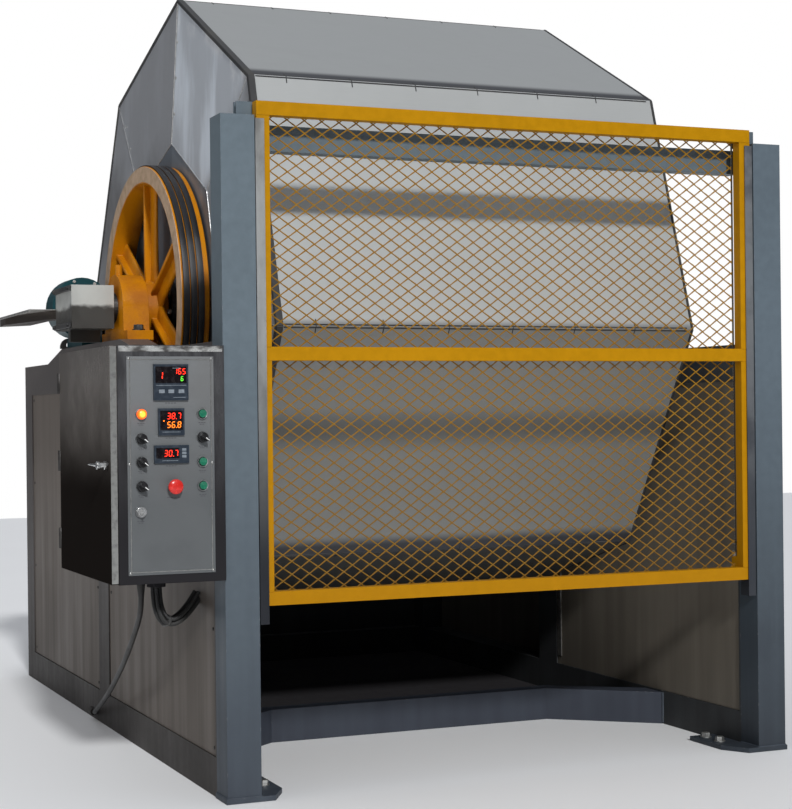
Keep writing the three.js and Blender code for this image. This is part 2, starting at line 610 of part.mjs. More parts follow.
piece("cabinet_door", cut(
  block(0, DOOR_T, 2, CABINET_D - 2, 2, CABINET_H - 2),
  block(2, DOOR_T + 1, 20, CABINET_D - 20, 20, CABINET_H - 20),
  rod("x", 12.6, -1, 4, 34, CABINET_H / 2, 24),
), STAINLESS(), cabinet);

const LATCH = { y: 34, z: CABINET_H / 2, out: 30 };
const latch = piece("door_latch", join(
  rod("x", 12, -LATCH.out, 14, 0, 0, 24),
  block(-LATCH.out, -LATCH.out + 12, -14, 118, -11, 11),
  block(8, 14, -9, 9, -30, 9),
), DARK_STEEL(), cabinet);
latch.position.set(0, LATCH.y, LATCH.z);

function instrumentPlate() {
  const sheet = block(45, CABINET_W - 31, FRONT_Y, -GAP, 24, CABINET_H - 30);
  const collars = CONTROLS.map(([x, z]) => rod("y", COLLAR.r, FRONT_Y - COLLAR.h, -GAP, x, z, 16));
  return cut(join(sheet, ...collars), ...panelCutouts(FRONT_Y - COLLAR.h - 1, 1));
}
piece("instrument_plate", instrumentPlate(), STAINLESS(), cabinet);

for (const { name, x, z, w, h } of METERS) {
  const bezel = block(x - w / 2, x + w / 2, FRONT_Y - GAP - 7, FRONT_Y - GAP, z - h / 2, z + h / 2);
  const halfW = w / 2 - METER_BODY;
  const halfH = h / 2 - METER_BODY;
  const body = block(x - halfW, x + halfW, FRONT_Y - GAP - 1, 75, z - halfH, z + halfH);
  piece(name, join(bezel, body), BLACK_PLASTIC(), cabinet);
}

/** A control that passes through its collar: stem and head, both round, along y. */
function control(headR, headFrom, headTo) {
  const stem = rod("y", HOLE_R - 1.2, headTo - 0.5, 18, 0, 0, 12);
  return join(stem, rod("y", headR, headFrom, headTo, 0, 0, 16));
}
const HEAD_GAP = COLLAR.h - FRONT_Y + 1; // the heads stand just clear of the collars
function placed(name, body, [x, z], color) {
  const mesh = piece(name, body, finish(color, 0.4, 0), cabinet);
  mesh.position.set(x, 0, z);
}
placed("pilot_lamp", control(13, -HEAD_GAP - 12, -HEAD_GAP), LAMP, 0xe8541a);
KNOBS.forEach((at, i) => {
  const grip = block(-4, 4, -HEAD_GAP - 26, -HEAD_GAP - 9, -13, 13);
  placed("knob_" + (i + 1), join(control(13, -HEAD_GAP - 10, -HEAD_GAP), grip), at, 0x141517);
});
BUTTONS.forEach((at, i) => {
  placed("push_button_" + (i + 1), control(10.4, -HEAD_GAP - 5, -HEAD_GAP), at, 0x1f7a45);
});
placed("emergency_stop", join(
  control(HOLE_R - 1.2, -HEAD_GAP - 12, -HEAD_GAP),
  rod("y", 20, -HEAD_GAP - 24, -HEAD_GAP - 8, 0, 0, 24),
), STOP, 0xb3201c);
placed("key_switch", join(
  control(12.5, -HEAD_GAP - 5, -HEAD_GAP),
  block(-1.5, 1.5, -HEAD_GAP - 22, -HEAD_GAP - 4, -8, 8),
), KEY_SWITCH, 0x9a9ca0);

function controlBackplate() {
  const back = CABINET_W - GAP - CABINET_WALL - GAP;
  const sheet = block(back - 3, back, 60, CABINET_D - 40, 40, CABINET_H - 40);
  const inverter = block(back - 160, back - 2, 370, 510, 330, 560);
  const contactors = block(back - 90, back - 2, 110, 340, 400, 480);
  const terminals = block(back - 60, back - 2, 110, 500, 90, 140);
  return join(sheet, inverter, contactors, terminals);
}
piece("control_backplate", controlBackplate(), BLACK_PLASTIC(), cabinet);

// ---- air path: square rotary box on the left stub axle, flat duct to the rear, fan ----
const AIR_BOX = {
  x0: -125,
  x1: AXLE_END - 4,
  y0: AXLE_Y - 65,
  y1: AXLE_Y + 165,
  z0: AXLE_Z - 73,
  z1: AXLE_Z + 72,
  wall: 3,
};
const DUCT = { z0: AXLE_Z - 29, z1: AXLE_Z + 1, wall: 2, side: 5 };
function airBox() {
  const { x0, x1, y0, y1, z0, z1, wall } = AIR_BOX;
  const box = block(x0, x1, y0, y1, z0, z1);
  const hollow = block(x0 + wall, x1 - wall, y0 + wall, y1 - wall, z0 + wall, z1 - wall);
  const axleHole = rod("x", AXLE_BORE_R, x1 - wall - 1, x1 + 1, AXLE_Y, AXLE_Z, 24);
  const ductHole = block(x0 + 8, x0 + 60, y1 - wall - 1, y1 + 1, DUCT.z0 + 3, DUCT.z1 - 3);
  const bracket = block(x0 + 20, x1 - 20, AXLE_Y + 40, AXLE_Y + 70, PEDESTAL_TOP + GAP, z0 + 1);
  return join(cut(box, hollow, axleHole, ductHole), bracket);
}
piece("air_box", airBox(), STAINLESS());

/** A flat duct that leaves the air box beside the frame and turns outwards, open at both ends. */
function longDuct() {
  const mouth = AIR_BOX.y1 + GAP;
  const outline = [
    [AIR_BOX.x0 + 2, mouth],
    [-60, mouth],
    [-112, mouth + 135],
    [-116, mouth + 455],
    [-205, mouth + 575],
    [-216, mouth + 417],
  ];
  const hollow = [
    [AIR_BOX.x0 + 2 + DUCT.side, mouth - 5],
    [-60 - DUCT.side, mouth - 5],
    [-112 - DUCT.side, mouth + 135],
    [-116 - DUCT.side, mouth + 475],
    [-205 + DUCT.side, mouth + 595],
    [-216 + DUCT.side, mouth + 417],
  ];
  return cut(plate("xy", outline, DUCT.z0, DUCT.z1),
    plate("xy", hollow, DUCT.z0 + DUCT.wall, DUCT.z1 - DUCT.wall));
}
piece("long_duct", longDuct(), STAINLESS());

const FAN = {
  x: 10,
  y0: AXLE_Y + 330,
  y1: AXLE_Y + 440,
  r: 108,
  z: PEDESTAL_TOP + 136,
  wall: 4,
  inletR: 60,
  motorR: 62,
};
const fan = new THREE.Group();
fan.position.set(FAN.x, 0, FAN.z);
machine.add(fan);
function fanHousing() {
  const shell = cut(rod("y", FAN.r, FAN.y0, FAN.y1, 0, 0, 32),
    rod("y", FAN.r - FAN.wall, FAN.y0 + FAN.wall, FAN.y1 - FAN.wall, 0, 0, 32),
    rod("y", FAN.inletR, FAN.y0 - 1, FAN.y0 + FAN.wall + 1, 0, 0, 24));
  const foot = block(-FAN.x + 8, 70, FAN.y0 + 4, FAN.y1 + 120, PEDESTAL_TOP + GAP - FAN.z, -FAN.r + 8);
  const neck = block(-FAN.x + 8, 40, FAN.y1 + 60, FAN.y1 + 90, -FAN.r, -50);
  const motor = rod("y", FAN.motorR, FAN.y1 - 2, FAN.y1 + 150, 0, 0, 24);
  return join(shell, foot, neck, motor);
}
piece("fan_housing", fanHousing(), FAN_TEAL(), fan);
function fanRotor() {
  const disc = rod("y", 90, FAN.y1 - 20, FAN.y1 - 16, 0, 0, 24);
  const hub = rod("y", 18, FAN.y0 + 20, FAN.y1 - FAN.wall - 2, 0, 0, 20);
  const blades = Array.from({ length: 12 }, (_, i) => {
    const geometry = new THREE.BoxGeometry(4, 70, 32);
    geometry.translate(0, FAN.y0 + 60, 72).rotateY((i * Math.PI) / 6);
    return solid(geometry);
  });
  return join(disc, hub, ...blades);
}
piece("fan_rotor", fanRotor(), STAINLESS(), fan);

// ---- leads: the conduit bundle into the side panel and the black cable down to the base rail ----
/** A round lead along hand-chosen route points. */
function lead(route, diameter, steps, sides = 10) {
  const curve = new THREE.CatmullRomCurve3(route.map((p) => new THREE.Vector3(...p)), false, "centripetal");
  const circle = new THREE.EllipseCurve(0, 0, diameter / 2, diameter / 2).getPoints(sides);
  const section = new THREE.Shape(circle.slice(0, -1));
  return solid(new THREE.ExtrudeGeometry(section, { steps, extrudePath: curve, bevelEnabled: false }));
}
piece("conduit_bundle", lead(CONDUIT_ROUTE, CONDUIT_D, 22), RUBBER());
piece("supply_cable", lead(CABLE_ROUTE, CABLE_D, 34, 8), RUBBER());

// The origin is on the floor under the middle of the whole machine.
const extent = new THREE.Box3().setFromObject(machine);
const middle = extent.getCenter(new THREE.Vector3());
machine.position.set(-middle.x, -middle.y, -extent.min.z);

export default machine;
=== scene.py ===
"""Octagonal tumbling drum machine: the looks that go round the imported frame."""
import math

import bmesh
import bpy
import numpy as np
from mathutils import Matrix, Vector


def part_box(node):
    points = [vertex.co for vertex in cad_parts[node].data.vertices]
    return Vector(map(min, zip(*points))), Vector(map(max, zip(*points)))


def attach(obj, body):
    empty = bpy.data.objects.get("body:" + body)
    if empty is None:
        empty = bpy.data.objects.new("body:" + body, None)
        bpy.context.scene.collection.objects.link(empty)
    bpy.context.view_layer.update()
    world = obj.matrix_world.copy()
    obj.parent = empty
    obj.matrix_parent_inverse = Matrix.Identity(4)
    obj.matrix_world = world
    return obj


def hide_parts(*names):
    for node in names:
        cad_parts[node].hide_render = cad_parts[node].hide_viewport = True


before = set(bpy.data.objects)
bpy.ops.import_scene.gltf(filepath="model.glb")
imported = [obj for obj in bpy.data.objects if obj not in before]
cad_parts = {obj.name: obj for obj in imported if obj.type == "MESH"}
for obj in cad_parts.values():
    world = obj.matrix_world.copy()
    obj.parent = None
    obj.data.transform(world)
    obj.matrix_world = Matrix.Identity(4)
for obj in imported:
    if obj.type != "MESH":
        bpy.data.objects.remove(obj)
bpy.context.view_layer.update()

# ------------------------------
# Camera. It stands in front and to the left at chest height with a long lens, and its sensor is
# shifted so that uprights stay upright.
lens = bpy.data.cameras.new("camera")
lens.lens = 75.58
lens.sensor_width = 36
lens.shift_x = 0.1074
lens.shift_y = 0.0185
camera = bpy.data.objects.new("camera", lens)
camera.location = (-2.20443, -5.58590, 1.05307)
looking = Vector((0.366772, 0.930305, -0.003278))
camera.rotation_euler = looking.to_track_quat("-Z", "Y").to_euler()
camera.rotation_euler.rotate_axis("Z", -0.011026)
bpy.context.scene.collection.objects.link(camera)
bpy.context.scene.camera = camera

# ------------------------------
# Leads. Four corrugated conduits come out of a gland in the cabinet's floor as one bundle, hang
# in a loop and go into the side frame. The black supply cable runs down to the base rail.
FOOT_LIP = 0.004  # the left foot plate stands this far out past the frame's corner
CORNER = np.array(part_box("left_front_post")[0]) + [FOOT_LIP, FOOT_LIP, 0]


def from_corner(points):
    """Millimetres from the frame's left front corner on the floor, as metres in the model."""
    return np.asarray(points, float) / 1000 + CORNER


class Value:
    """A number that varies over a surface. Arithmetic on it adds Math nodes."""

    def __init__(self, paint, socket):
        self.paint = paint
        self.socket = socket

    def __add__(self, other):
        return self.paint.math("ADD", self, other)

    def __sub__(self, other):
        return self.paint.math("SUBTRACT", self, other)

    def __rsub__(self, other):
        return self.paint.math("SUBTRACT", other, self)

    def __mul__(self, other):
        return self.paint.math("MULTIPLY", self, other)

    __radd__ = __add__
    __rmul__ = __mul__


class Nodes:
    """The nodes of a material or of the room's air."""

    def __init__(self, tree):
        self.tree = tree

    def node(self, kind, settings, values, out=0):
        """Any node: its settings first, then the numbers or links of its sockets."""
        made = self.tree.nodes.new(kind)
        for key, setting in settings.items():
            setattr(made, key, setting)
        for key, value in values.items():
            if isinstance(value, Value):
                self.tree.links.new(value.socket, made.inputs[key])
            else:
                made.inputs[key].default_value = value
        return Value(self, made.outputs[out])

    def math(self, operation, *values):
        """A Math node on one or two numbers or links."""
        return self.node("ShaderNodeMath", {"operation": operation}, dict(enumerate(values)))

    def step(self, value, low, high):
        """0 below low, 1 above high, and a smooth rise between them."""
        return self.node("ShaderNodeMapRange", {"interpolation_type": "SMOOTHSTEP"},
                         {"Value": value, "From Min": low, "From Max": high})

    def mix(self, factor, first, second):
        """One colour turning into another."""
        def colour(value):
            return value if isinstance(value, Value) else (*value, 1)
        return self.node("ShaderNodeMix", {"data_type": "RGBA"},
                         {0: factor, 6: colour(first), 7: colour(second)}, out=2)


class Paint(Nodes):
    """One finish: a Principled surface and the nodes that vary it, all on Object coordinates."""

    def __init__(self, name, **constants):
        self.material = bpy.data.materials.new(name)
        self.material.use_nodes = True
        super().__init__(self.material.node_tree)
        self.surface = self.tree.nodes["Principled BSDF"]
        for socket, value in constants.items():
            self.surface.inputs[socket.replace("_", " ")].default_value = value

    def position(self):
        return self.node("ShaderNodeTexCoord", {}, {}, out="Object")

    def axis(self, letter):
        return self.node("ShaderNodeSeparateXYZ", {}, {"Vector": self.position()}, out=letter)

    def noise(self, scale, detail=4.0, stretch=(1, 1, 1), shift=(0, 0, 0)):
        """Soft cloudy noise from 0 to 1, scale clouds to the metre, stretched along the axes."""
        mapped = self.node("ShaderNodeMapping", {},
                           {"Vector": self.position(), "Location": shift, "Scale": stretch})
        return self.node("ShaderNodeTexNoise", {}, {"Vector": mapped, "Scale": scale, "Detail": detail})

    def worn(self, radius, low=0.015, high=0.12):
        """1 along outer and inner edges, within about radius of them."""
        rounded = self.node("ShaderNodeBevel", {"samples": 4}, {"Radius": radius})
        flat = self.node("ShaderNodeNewGeometry", {}, {}, out="Normal")
        dot = self.node("ShaderNodeVectorMath", {"operation": "DOT_PRODUCT"},
                        {0: rounded, 1: flat}, out="Value")
        return self.step(1 - dot, low, high)

    def link(self, socket, value):
        self.tree.links.new(value.socket, self.surface.inputs[socket])

    def done(self, colour, roughness=None, height=None, depth=0.001, strength=1.0, radius=0.0, metallic=None):
        """Feeds the surface: its colour, its roughness, and a bump depth metres deep."""
        self.link("Base Color", colour)
        if roughness is not None:
            self.link("Roughness", roughness)
        if metallic is not None:
            self.link("Metallic", metallic)
        normal = None
        if radius:
            normal = self.node("ShaderNodeBevel", {"samples": 4}, {"Radius": radius})
        if height is not None:
            values = {"Strength": strength, "Distance": depth, "Height": height}
            if normal is not None:
                values["Normal"] = normal
            normal = self.node("ShaderNodeBump", {}, values)
        if normal is not None:
            self.link("Normal", normal)
        return self.material


class Shape:
    """A mesh gathered from grids, turned profiles and blocks before it becomes one object."""

    def __init__(self):
        self.points = []
        self.faces = []
        self.count = 0

    def add(self, points, faces):
        points = np.asarray(points, float).reshape(-1, 3)
        self.faces.append(np.asarray(faces, int) + self.count)
        self.points.append(points)
        self.count += len(points)

    def grid(self, points, around=True, ends=True):
        """Rows of points joined to their neighbours in quads. around closes each row into a
        ring, and ends fans the first and last ring to their middles."""
        rows, columns = points.shape[:2]
        index = np.arange(rows * columns).reshape(rows, columns)
        right = np.roll(index, -1, axis=1) if around else index[:, 1:]
        left = index if around else index[:, :-1]
        quads = np.stack([left[:-1], right[:-1], right[1:], left[1:]], axis=-1).reshape(-1, 4)
        self.add(points, quads)
        if around and ends:
            for row in (0, -1):
                middle = points[row].mean(axis=0)
                fan = np.stack([left[0], right[0], np.full(columns, columns)], axis=-1)
                self.add(np.vstack([points[row], middle]), fan)
        return self

    def turned(self, profile, origin, axis, sides=64, start=0.0, closed=False):
        """A profile of (radius, height) pairs turned about an axis through origin: each point is
        origin + height * axis + radius * (cos a * u + sin a * v). closed joins its last to its first."""
        profile = np.asarray(profile, float)
        if closed:
            profile = np.vstack([profile, profile[:1]])
        axis = np.asarray(axis, float) / np.linalg.norm(axis)
        helper = np.array([0, 0, 1.0]) if abs(axis[2]) < 0.9 else np.array([0, 1.0, 0])
        u = np.cross(helper, axis)
        u = u / np.linalg.norm(u)
        v = np.cross(axis, u)
        angle = start + np.arange(sides) * 2 * np.pi / sides
        spoke = np.cos(angle)[:, None] * u + np.sin(angle)[:, None] * v
        points = (np.asarray(origin, float) + profile[:, 1, None, None] * axis
                  + profile[:, 0, None, None] * spoke[None])
        return self.grid(points, ends=not closed)

    def block(self, low, high, chamfer=0.0, turn=None, about=(0, 0, 0)):
        """A box with its edges cut off: each corner has three points, one on each of its faces."""
        low = np.asarray(low, float)
        high = np.asarray(high, float)
        signs = np.array([[(c >> a & 1) * 2 - 1 for a in range(3)] for c in range(8)])
        half = (high - low) / 2
        chamfer = min(chamfer, half.min() * 0.9)
        inset = half - chamfer
        points = []
        for axis in range(3):
            corner = signs * inset
            corner[:, axis] = signs[:, axis] * half[axis]
            points.append(corner)
        points = np.concatenate(points)
        faces = []
        for axis in range(3):
            b, c = (axis + 1) % 3, (axis + 2) % 3
            for side in (0, 1):
                ring = [side << axis | p << b | q << c for p, q in ((0, 0), (1, 0), (1, 1), (0, 1))]
                faces.append([8 * axis + r for r in ring])
            if chamfer > 0:
                for p in (0, 1):
                    for q in (0, 1):
                        one = p << b | q << c
                        two = one | 1 << axis
                        faces.append([8 * b + one, 8 * b + two, 8 * c + two, 8 * c + one])
        if chamfer > 0:
            for corner in range(8):
                faces.append([corner, 8 + corner, 16 + corner, 16 + corner])
        placed = points + (low + high) / 2
        if turn is not None:
            about = np.asarray(about, float)
            placed = (placed - about) @ np.asarray(turn).T + about
        self.add(placed, faces)
        return self

    def object(self, name, material, body, slot, stands_for=None, smooth=35.0):
        """The gathered mesh as an object, its faces turned outwards, riding on a body. stands_for
        names the CAD node that it replaces."""
        mesh = bpy.data.meshes.new(name)
        faces = []
        for group in self.faces:
            faces.extend(dict.fromkeys(row).keys() for row in group.tolist())
        mesh.from_pydata(np.concatenate(self.points).tolist(), [], [tuple(f) for f in faces])
        tidy = bmesh.new()
        tidy.from_mesh(mesh)
        bmesh.ops.remove_doubles(tidy, verts=tidy.verts, dist=1e-6)
        bmesh.ops.dissolve_degenerate(tidy, edges=tidy.edges, dist=1e-7)
        bmesh.ops.recalc_face_normals(tidy, faces=tidy.faces)
        tidy.to_mesh(mesh)
        tidy.free()
        mesh.shade_smooth()
        mesh.set_sharp_from_angle(angle=math.radians(smooth))
        mesh.materials.append(material)
        made = bpy.data.objects.new(name, mesh)
        bpy.context.scene.collection.objects.link(made)
        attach(made, body)
        if stands_for:
            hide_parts(stands_for)
        return made


def smooth_path(points, spacing):
    """A curve through points: on each stretch a cubic whose slopes come from the neighbours,
    sampled so that its points lie about spacing apart."""
    points = np.asarray(points, float)
    knots = np.concatenate([[0], np.cumsum(np.linalg.norm(np.diff(points, axis=0), axis=1))])
    slopes = np.gradient(points, knots, axis=0)
    count = max(8, int(knots[-1] / spacing))
    at = np.linspace(0, knots[-1], count)
    span = np.clip(np.searchsorted(knots, at, side="right") - 1, 0, len(points) - 2)
    width = (knots[span + 1] - knots[span])[:, None]
    t = (at[:, None] - knots[span][:, None]) / width
    return ((2 * t**3 - 3 * t**2 + 1) * points[span] + (t**3 - 2 * t**2 + t) * width * slopes[span]
            + (3 * t**2 - 2 * t**3) * points[span + 1] + (t**3 - t**2) * width * slopes[span + 1])


def frames_along(path, level):
    """Two directions across a path at each point: one kept close to level, one square to both."""
    forward = np.gradient(path, axis=0)
    forward /= np.linalg.norm(forward, axis=1, keepdims=True)
    side = np.cross(forward, level)
    side /= np.linalg.norm(side, axis=1, keepdims=True)
    return side, np.cross(side, forward)


def tube(shape, path, radius, level, sides=16):
    """A round tube: rings of radius, one number or one for each point, square to the path."""
    side, rise = frames_along(path, level)
    angle = np.arange(sides) * 2 * np.pi / sides
    radius = np.broadcast_to(radius, len(path))[:, None, None]
    ring = np.cos(angle)[None, :, None] * side[:, None] + np.sin(angle)[None, :, None] * rise[:, None]
    shape.grid(path[:, None] + radius * ring)


def sheath(name, tone):
    """Black moulded sheath with a dusty bloom and a fine leathery grain."""
    paint = Paint(name, Metallic=0.0)
    dust = paint.step(paint.noise(9, 6), 0.42, 0.75)
    grain = paint.noise(900, 3)
    colour = paint.mix(dust, (tone, tone, tone * 1.05), (tone * 2.6, tone * 2.5, tone * 2.3))
    return paint.done(colour, 0.42 + 0.25 * dust + 0.1 * grain, grain, depth=0.0002, strength=0.5)


conduit_black = sheath("conduit_black", 0.012)
cable_black = sheath("cable_sheath", 0.016)

CONDUIT_D = 0.0130
CONDUIT_SPREAD = 0.0070  # how far each conduit lies from the bundle's middle, both ways across
FAN_OUT = 1.35  # how much wider apart the conduits enter the side frame than they leave the cabinet
BUNDLE_START = np.array([-0.150, 0.150, 0.5826])
BUNDLE_END = np.array([0.0034, 0.250, 0.548])
HANG = np.array([0, 0, -0.115])
ARRIVE = np.array([0.084, 0.030, 0.110])
share = np.linspace(0, 1, 170)[:, None]
bundle_middle = (CORNER + (1 - share)**3 * BUNDLE_START + 3 * (1 - share)**2 * share * (BUNDLE_START + HANG)
                 + 3 * (1 - share) * share**2 * (BUNDLE_END - ARRIVE) + share**3 * BUNDLE_END)
loop_plane = (0.57, -0.82, 0.0)
bundle_side, bundle_rise = frames_along(bundle_middle, loop_plane)
along = np.linspace(0, 1, len(bundle_middle))[:, None]
opening_out = 1 + (FAN_OUT - 1) * np.clip((along - 0.55) / 0.45, 0, 1) ** 2
for number, (across, over) in enumerate([(-1, -1), (1, -1), (-1, 1), (1, 1)], 1):
    path = (bundle_middle + bundle_side * across * CONDUIT_SPREAD * opening_out
            + bundle_rise * over * CONDUIT_SPREAD)
    conduit = Shape()
    ridges = CONDUIT_D / 2 - 0.0011 * (np.arange(len(path)) % 2)
    tube(conduit, path, ridges, loop_plane, sides=14)
    piece = conduit.object(f"conduit_{number}", conduit_black, "root", "cable_black",
                           "conduit_bundle" if number == 1 else None, smooth=20)
    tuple(path[0])

CABLE_ROUTE = [
    (-0.165, 0.250, 0.5826), (-0.165, 0.250, 0.566), (-0.164, 0.253, 0.548), (-0.162, 0.262, 0.528),
    (-0.158, 0.282, 0.506), (-0.151, 0.325, 0.474), (-0.142, 0.400, 0.428), (-0.130, 0.500, 0.372),
    (-0.117, 0.610, 0.316), (-0.103, 0.730, 0.260), (-0.089, 0.850, 0.208), (-0.075, 0.970, 0.160),
    (-0.062, 1.080, 0.120), (-0.049, 1.180, 0.087), (-0.037, 1.265, 0.062), (-0.026, 1.330, 0.043),
    (-0.016, 1.368, 0.034), (-0.012, 1.388, 0.030), (-0.012, 1.3997, 0.030),
]
CABLE_D = 0.016
cable_path = smooth_path(np.array(CABLE_ROUTE) + CORNER, 0.006)
cable = Shape()
tube(cable, cable_path, CABLE_D / 2, (1, 0, 0), sides=20)
supply_cable = cable.object("supply_cable_sheath", cable_black, "root", "cable_black", "supply_cable")
RELIEF_LENGTH = 0.045
relief_path = cable_path[: int(RELIEF_LENGTH / 0.006)]
relief_share = np.linspace(0, 1, len(relief_path))
relief = Shape()
tube(relief, relief_path, CABLE_D / 2 + 0.0045 - 0.004 * relief_share, (1, 0, 0), sides=20)
cable_relief = relief.object("cable_strain_relief", cable_black, "root", "cable_black")
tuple(cable_path[0])

# A nylon tie holds the bundle together at its lowest point.
tie_at = int(len(bundle_middle) * 0.44)
tie_path = bundle_middle[tie_at:tie_at + 4]
tie = Shape()
tube(tie, tie_path, 0.0182, loop_plane, sides=28)
tie.object("cable_tie", sheath("tie_nylon", 0.05), "root", "black_plastic")

# ------------------------------
# Floor and light. A pale studio floor, one lamp high in front that throws the soft shadows of the
# lintel and the guard's rails on the drum, a broad lamp on the left, and a room that is bright
# overhead and dim towards the horizon.
FLOOR_HALF = 12
FLOOR_Z = -0.0005
floor_paint = Paint("studio_floor", Roughness=0.6)
floor_tone = floor_paint.noise(0.7, 2)
floor_material = floor_paint.done(floor_paint.mix(floor_tone, (0.90, 0.90, 0.90), (0.94, 0.94, 0.94)))
floor_data = bpy.data.meshes.new("floor")
floor_corners = [(x, y, FLOOR_Z) for x in (-FLOOR_HALF, FLOOR_HALF) for y in (-FLOOR_HALF, FLOOR_HALF)]
floor_data.from_pydata(floor_corners, [], [(0, 2, 3, 1)])
floor_data.materials.append(floor_material)
floor = bpy.data.objects.new("floor", floor_data)
bpy.context.scene.collection.objects.link(floor)


def shine(name, kind, place, direction, **settings):
    """A lamp at a place, shining along a direction."""
    data = bpy.data.lights.new(name, kind)
    for key, value in settings.items():
        setattr(data, key, value)
    lamp = bpy.data.objects.new(name, data)
    lamp.location = place
    lamp.rotation_euler = Vector(direction).to_track_quat("-Z", "Y").to_euler()
    bpy.context.scene.collection.objects.link(lamp)


shine("front_lamp", "SUN", (0, 0, 0), (0.13, 0.85, -0.5), energy=2.35, angle=math.radians(5),
      color=(0.98, 0.99, 1.0))
shine("left_lamp", "AREA", (-5.6, -0.6, 2.9), (4.8, 0.7, -1.7), shape="RECTANGLE", size=3.0, size_y=2.0,
      energy=44, color=(1.0, 0.97, 0.93))

room = bpy.data.worlds.new("room")
bpy.context.scene.world = room
room.use_nodes = True
air = Nodes(room.node_tree)
facing = air.node("ShaderNodeTexCoord", {}, {}, out="Generated")
height = air.node("ShaderNodeSeparateXYZ", {}, {"Vector": facing}, out="Z")
sky = air.mix(air.step(height, 0.2, 0.97), (0.085, 0.09, 0.10), (0.56, 0.58, 0.62))
straight = air.node("ShaderNodeLightPath", {}, {}, out="Is Camera Ray")
shown = air.mix(straight, sky, (1, 1, 1))  # the camera itself sees plain white
air.tree.links.new(shown.socket, air.tree.nodes["Background"].inputs["Color"])
bpy.context.scene.view_settings.view_transform = "Standard"

# ------------------------------
# Side frames, panels and rear bulkhead. Folded and welded steel, sprayed with blue-grey enamel;
# the panels are sheets in a warm grey enamel, held by small screws near their corners.
def coat(node, material):
    """Gives a CAD node its finish."""
    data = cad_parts[node].data
    data.materials.clear()
    data.materials.append(material)


def enamel(name, tone, dirt_and_shade, gloss=0.4, chips=0.6, bare=(0.3, 0.29, 0.28), shine=0.4):
    """Sprayed enamel: orange peel, dusty and mottled, darker low down as painted shade, with rubbed and
    chipped edges.
    """
    paint = Paint(name, Metallic=0.0, Specular_IOR_Level=shine)
    cloud = paint.noise(3.2, 5)
    fine = paint.noise(38, 4)
    peel = paint.noise(420, 2)
    # Painted shade: the colour darkens towards the floor, standing for the light that falls off downwards.
    low = 1 - paint.step(paint.axis("Z"), -0.2, 1.5)
    streak = paint.noise(1.0, 5, stretch=(26, 26, 1.3))
    soil_and_shade = paint.step(cloud * 0.5 + streak * 0.3 + low * 0.35, 0.42, 0.95)
    base = paint.mix(paint.step(fine * 0.5 + cloud * 0.5, 0.3, 0.7),
                     tuple(0.9 * c for c in tone), tuple(1.08 * c for c in tone))
    dirty_and_shaded = paint.mix(soil_and_shade * 0.35 + low * 0.74, base, dirt_and_shade)
    edge = paint.worn(0.004) * paint.step(paint.noise(70, 5), 0.62 - 0.1 * chips, 0.72)
    colour = paint.mix(edge * chips, dirty_and_shaded, bare)
    rough = gloss + 0.22 * soil_and_shade + 0.12 * fine
    return paint.done(colour, rough, peel + 0.4 * fine, depth=0.0003, strength=0.35, radius=0.0018)


frame_blue = enamel("frame_enamel", (0.120, 0.155, 0.180), (0.034, 0.042, 0.056))
# The cross-member's enamel is a darker copy of the frame enamel: painted shade low down by the floor.
base_blue_shaded = enamel("base_shaded_enamel", (0.085, 0.102, 0.130), (0.024, 0.029, 0.042))
# The right post's enamel is a darker copy of the frame enamel, darker still low down: painted shade.
right_blue_shaded = enamel("right_post_shaded_enamel", (0.105, 0.136, 0.162), (0.018, 0.023, 0.031))
# The side frames and the bulkhead wear the blue-grey frame enamel; these two are darker copies of it, painted
# shade: warm brown for the left frame, grey for the right frame and the bulkhead inside the machine.
side_brown_shaded = enamel("side_frame_shaded_enamel", (0.092, 0.082, 0.078), (0.030, 0.026, 0.024), chips=0.3, shine=0.3)
side_grey_shaded = enamel("right_frame_shaded_enamel", (0.075, 0.086, 0.096), (0.026, 0.027, 0.028), shine=0.3)


def sheet_enamel(name, tone):
    """Warm grey enamel on a big flat sheet: rain streaks, wiped patches, painted shade low down, a faint
    waviness.
    """
    paint = Paint(name, Metallic=0.0, Specular_IOR_Level=0.08)
    streak = paint.noise(1.0, 6, stretch=(17, 17, 0.9))
    cloud = paint.noise(1.7, 4)
    # Painted shade: the sheet darkens towards the floor.
    low = 1 - paint.step(paint.axis("Z"), 0.1, 1.15)
    soil_and_shade = paint.step(streak * 0.55 + cloud * 0.35 + low * 0.2, 0.38, 0.8)
    colour = paint.mix(soil_and_shade * 0.6 + low * 0.25, tone, tuple(0.5 * c for c in tone))
    wave = paint.noise(1.3, 2)
    peel = paint.noise(380, 2)
    return paint.done(colour, 0.34 + 0.2 * soil_and_shade, wave + 0.004 * peel, depth=0.006, strength=0.25,
                      radius=0.0012)


panel_warm = sheet_enamel("panel_enamel", (0.158, 0.136, 0.118))
inner_warm = sheet_enamel("inner_panel_enamel", (0.215, 0.190, 0.155))
coat("left_side_frame", side_brown_shaded)
coat("right_side_frame", side_grey_shaded)
coat("rear_bulkhead", side_grey_shaded)

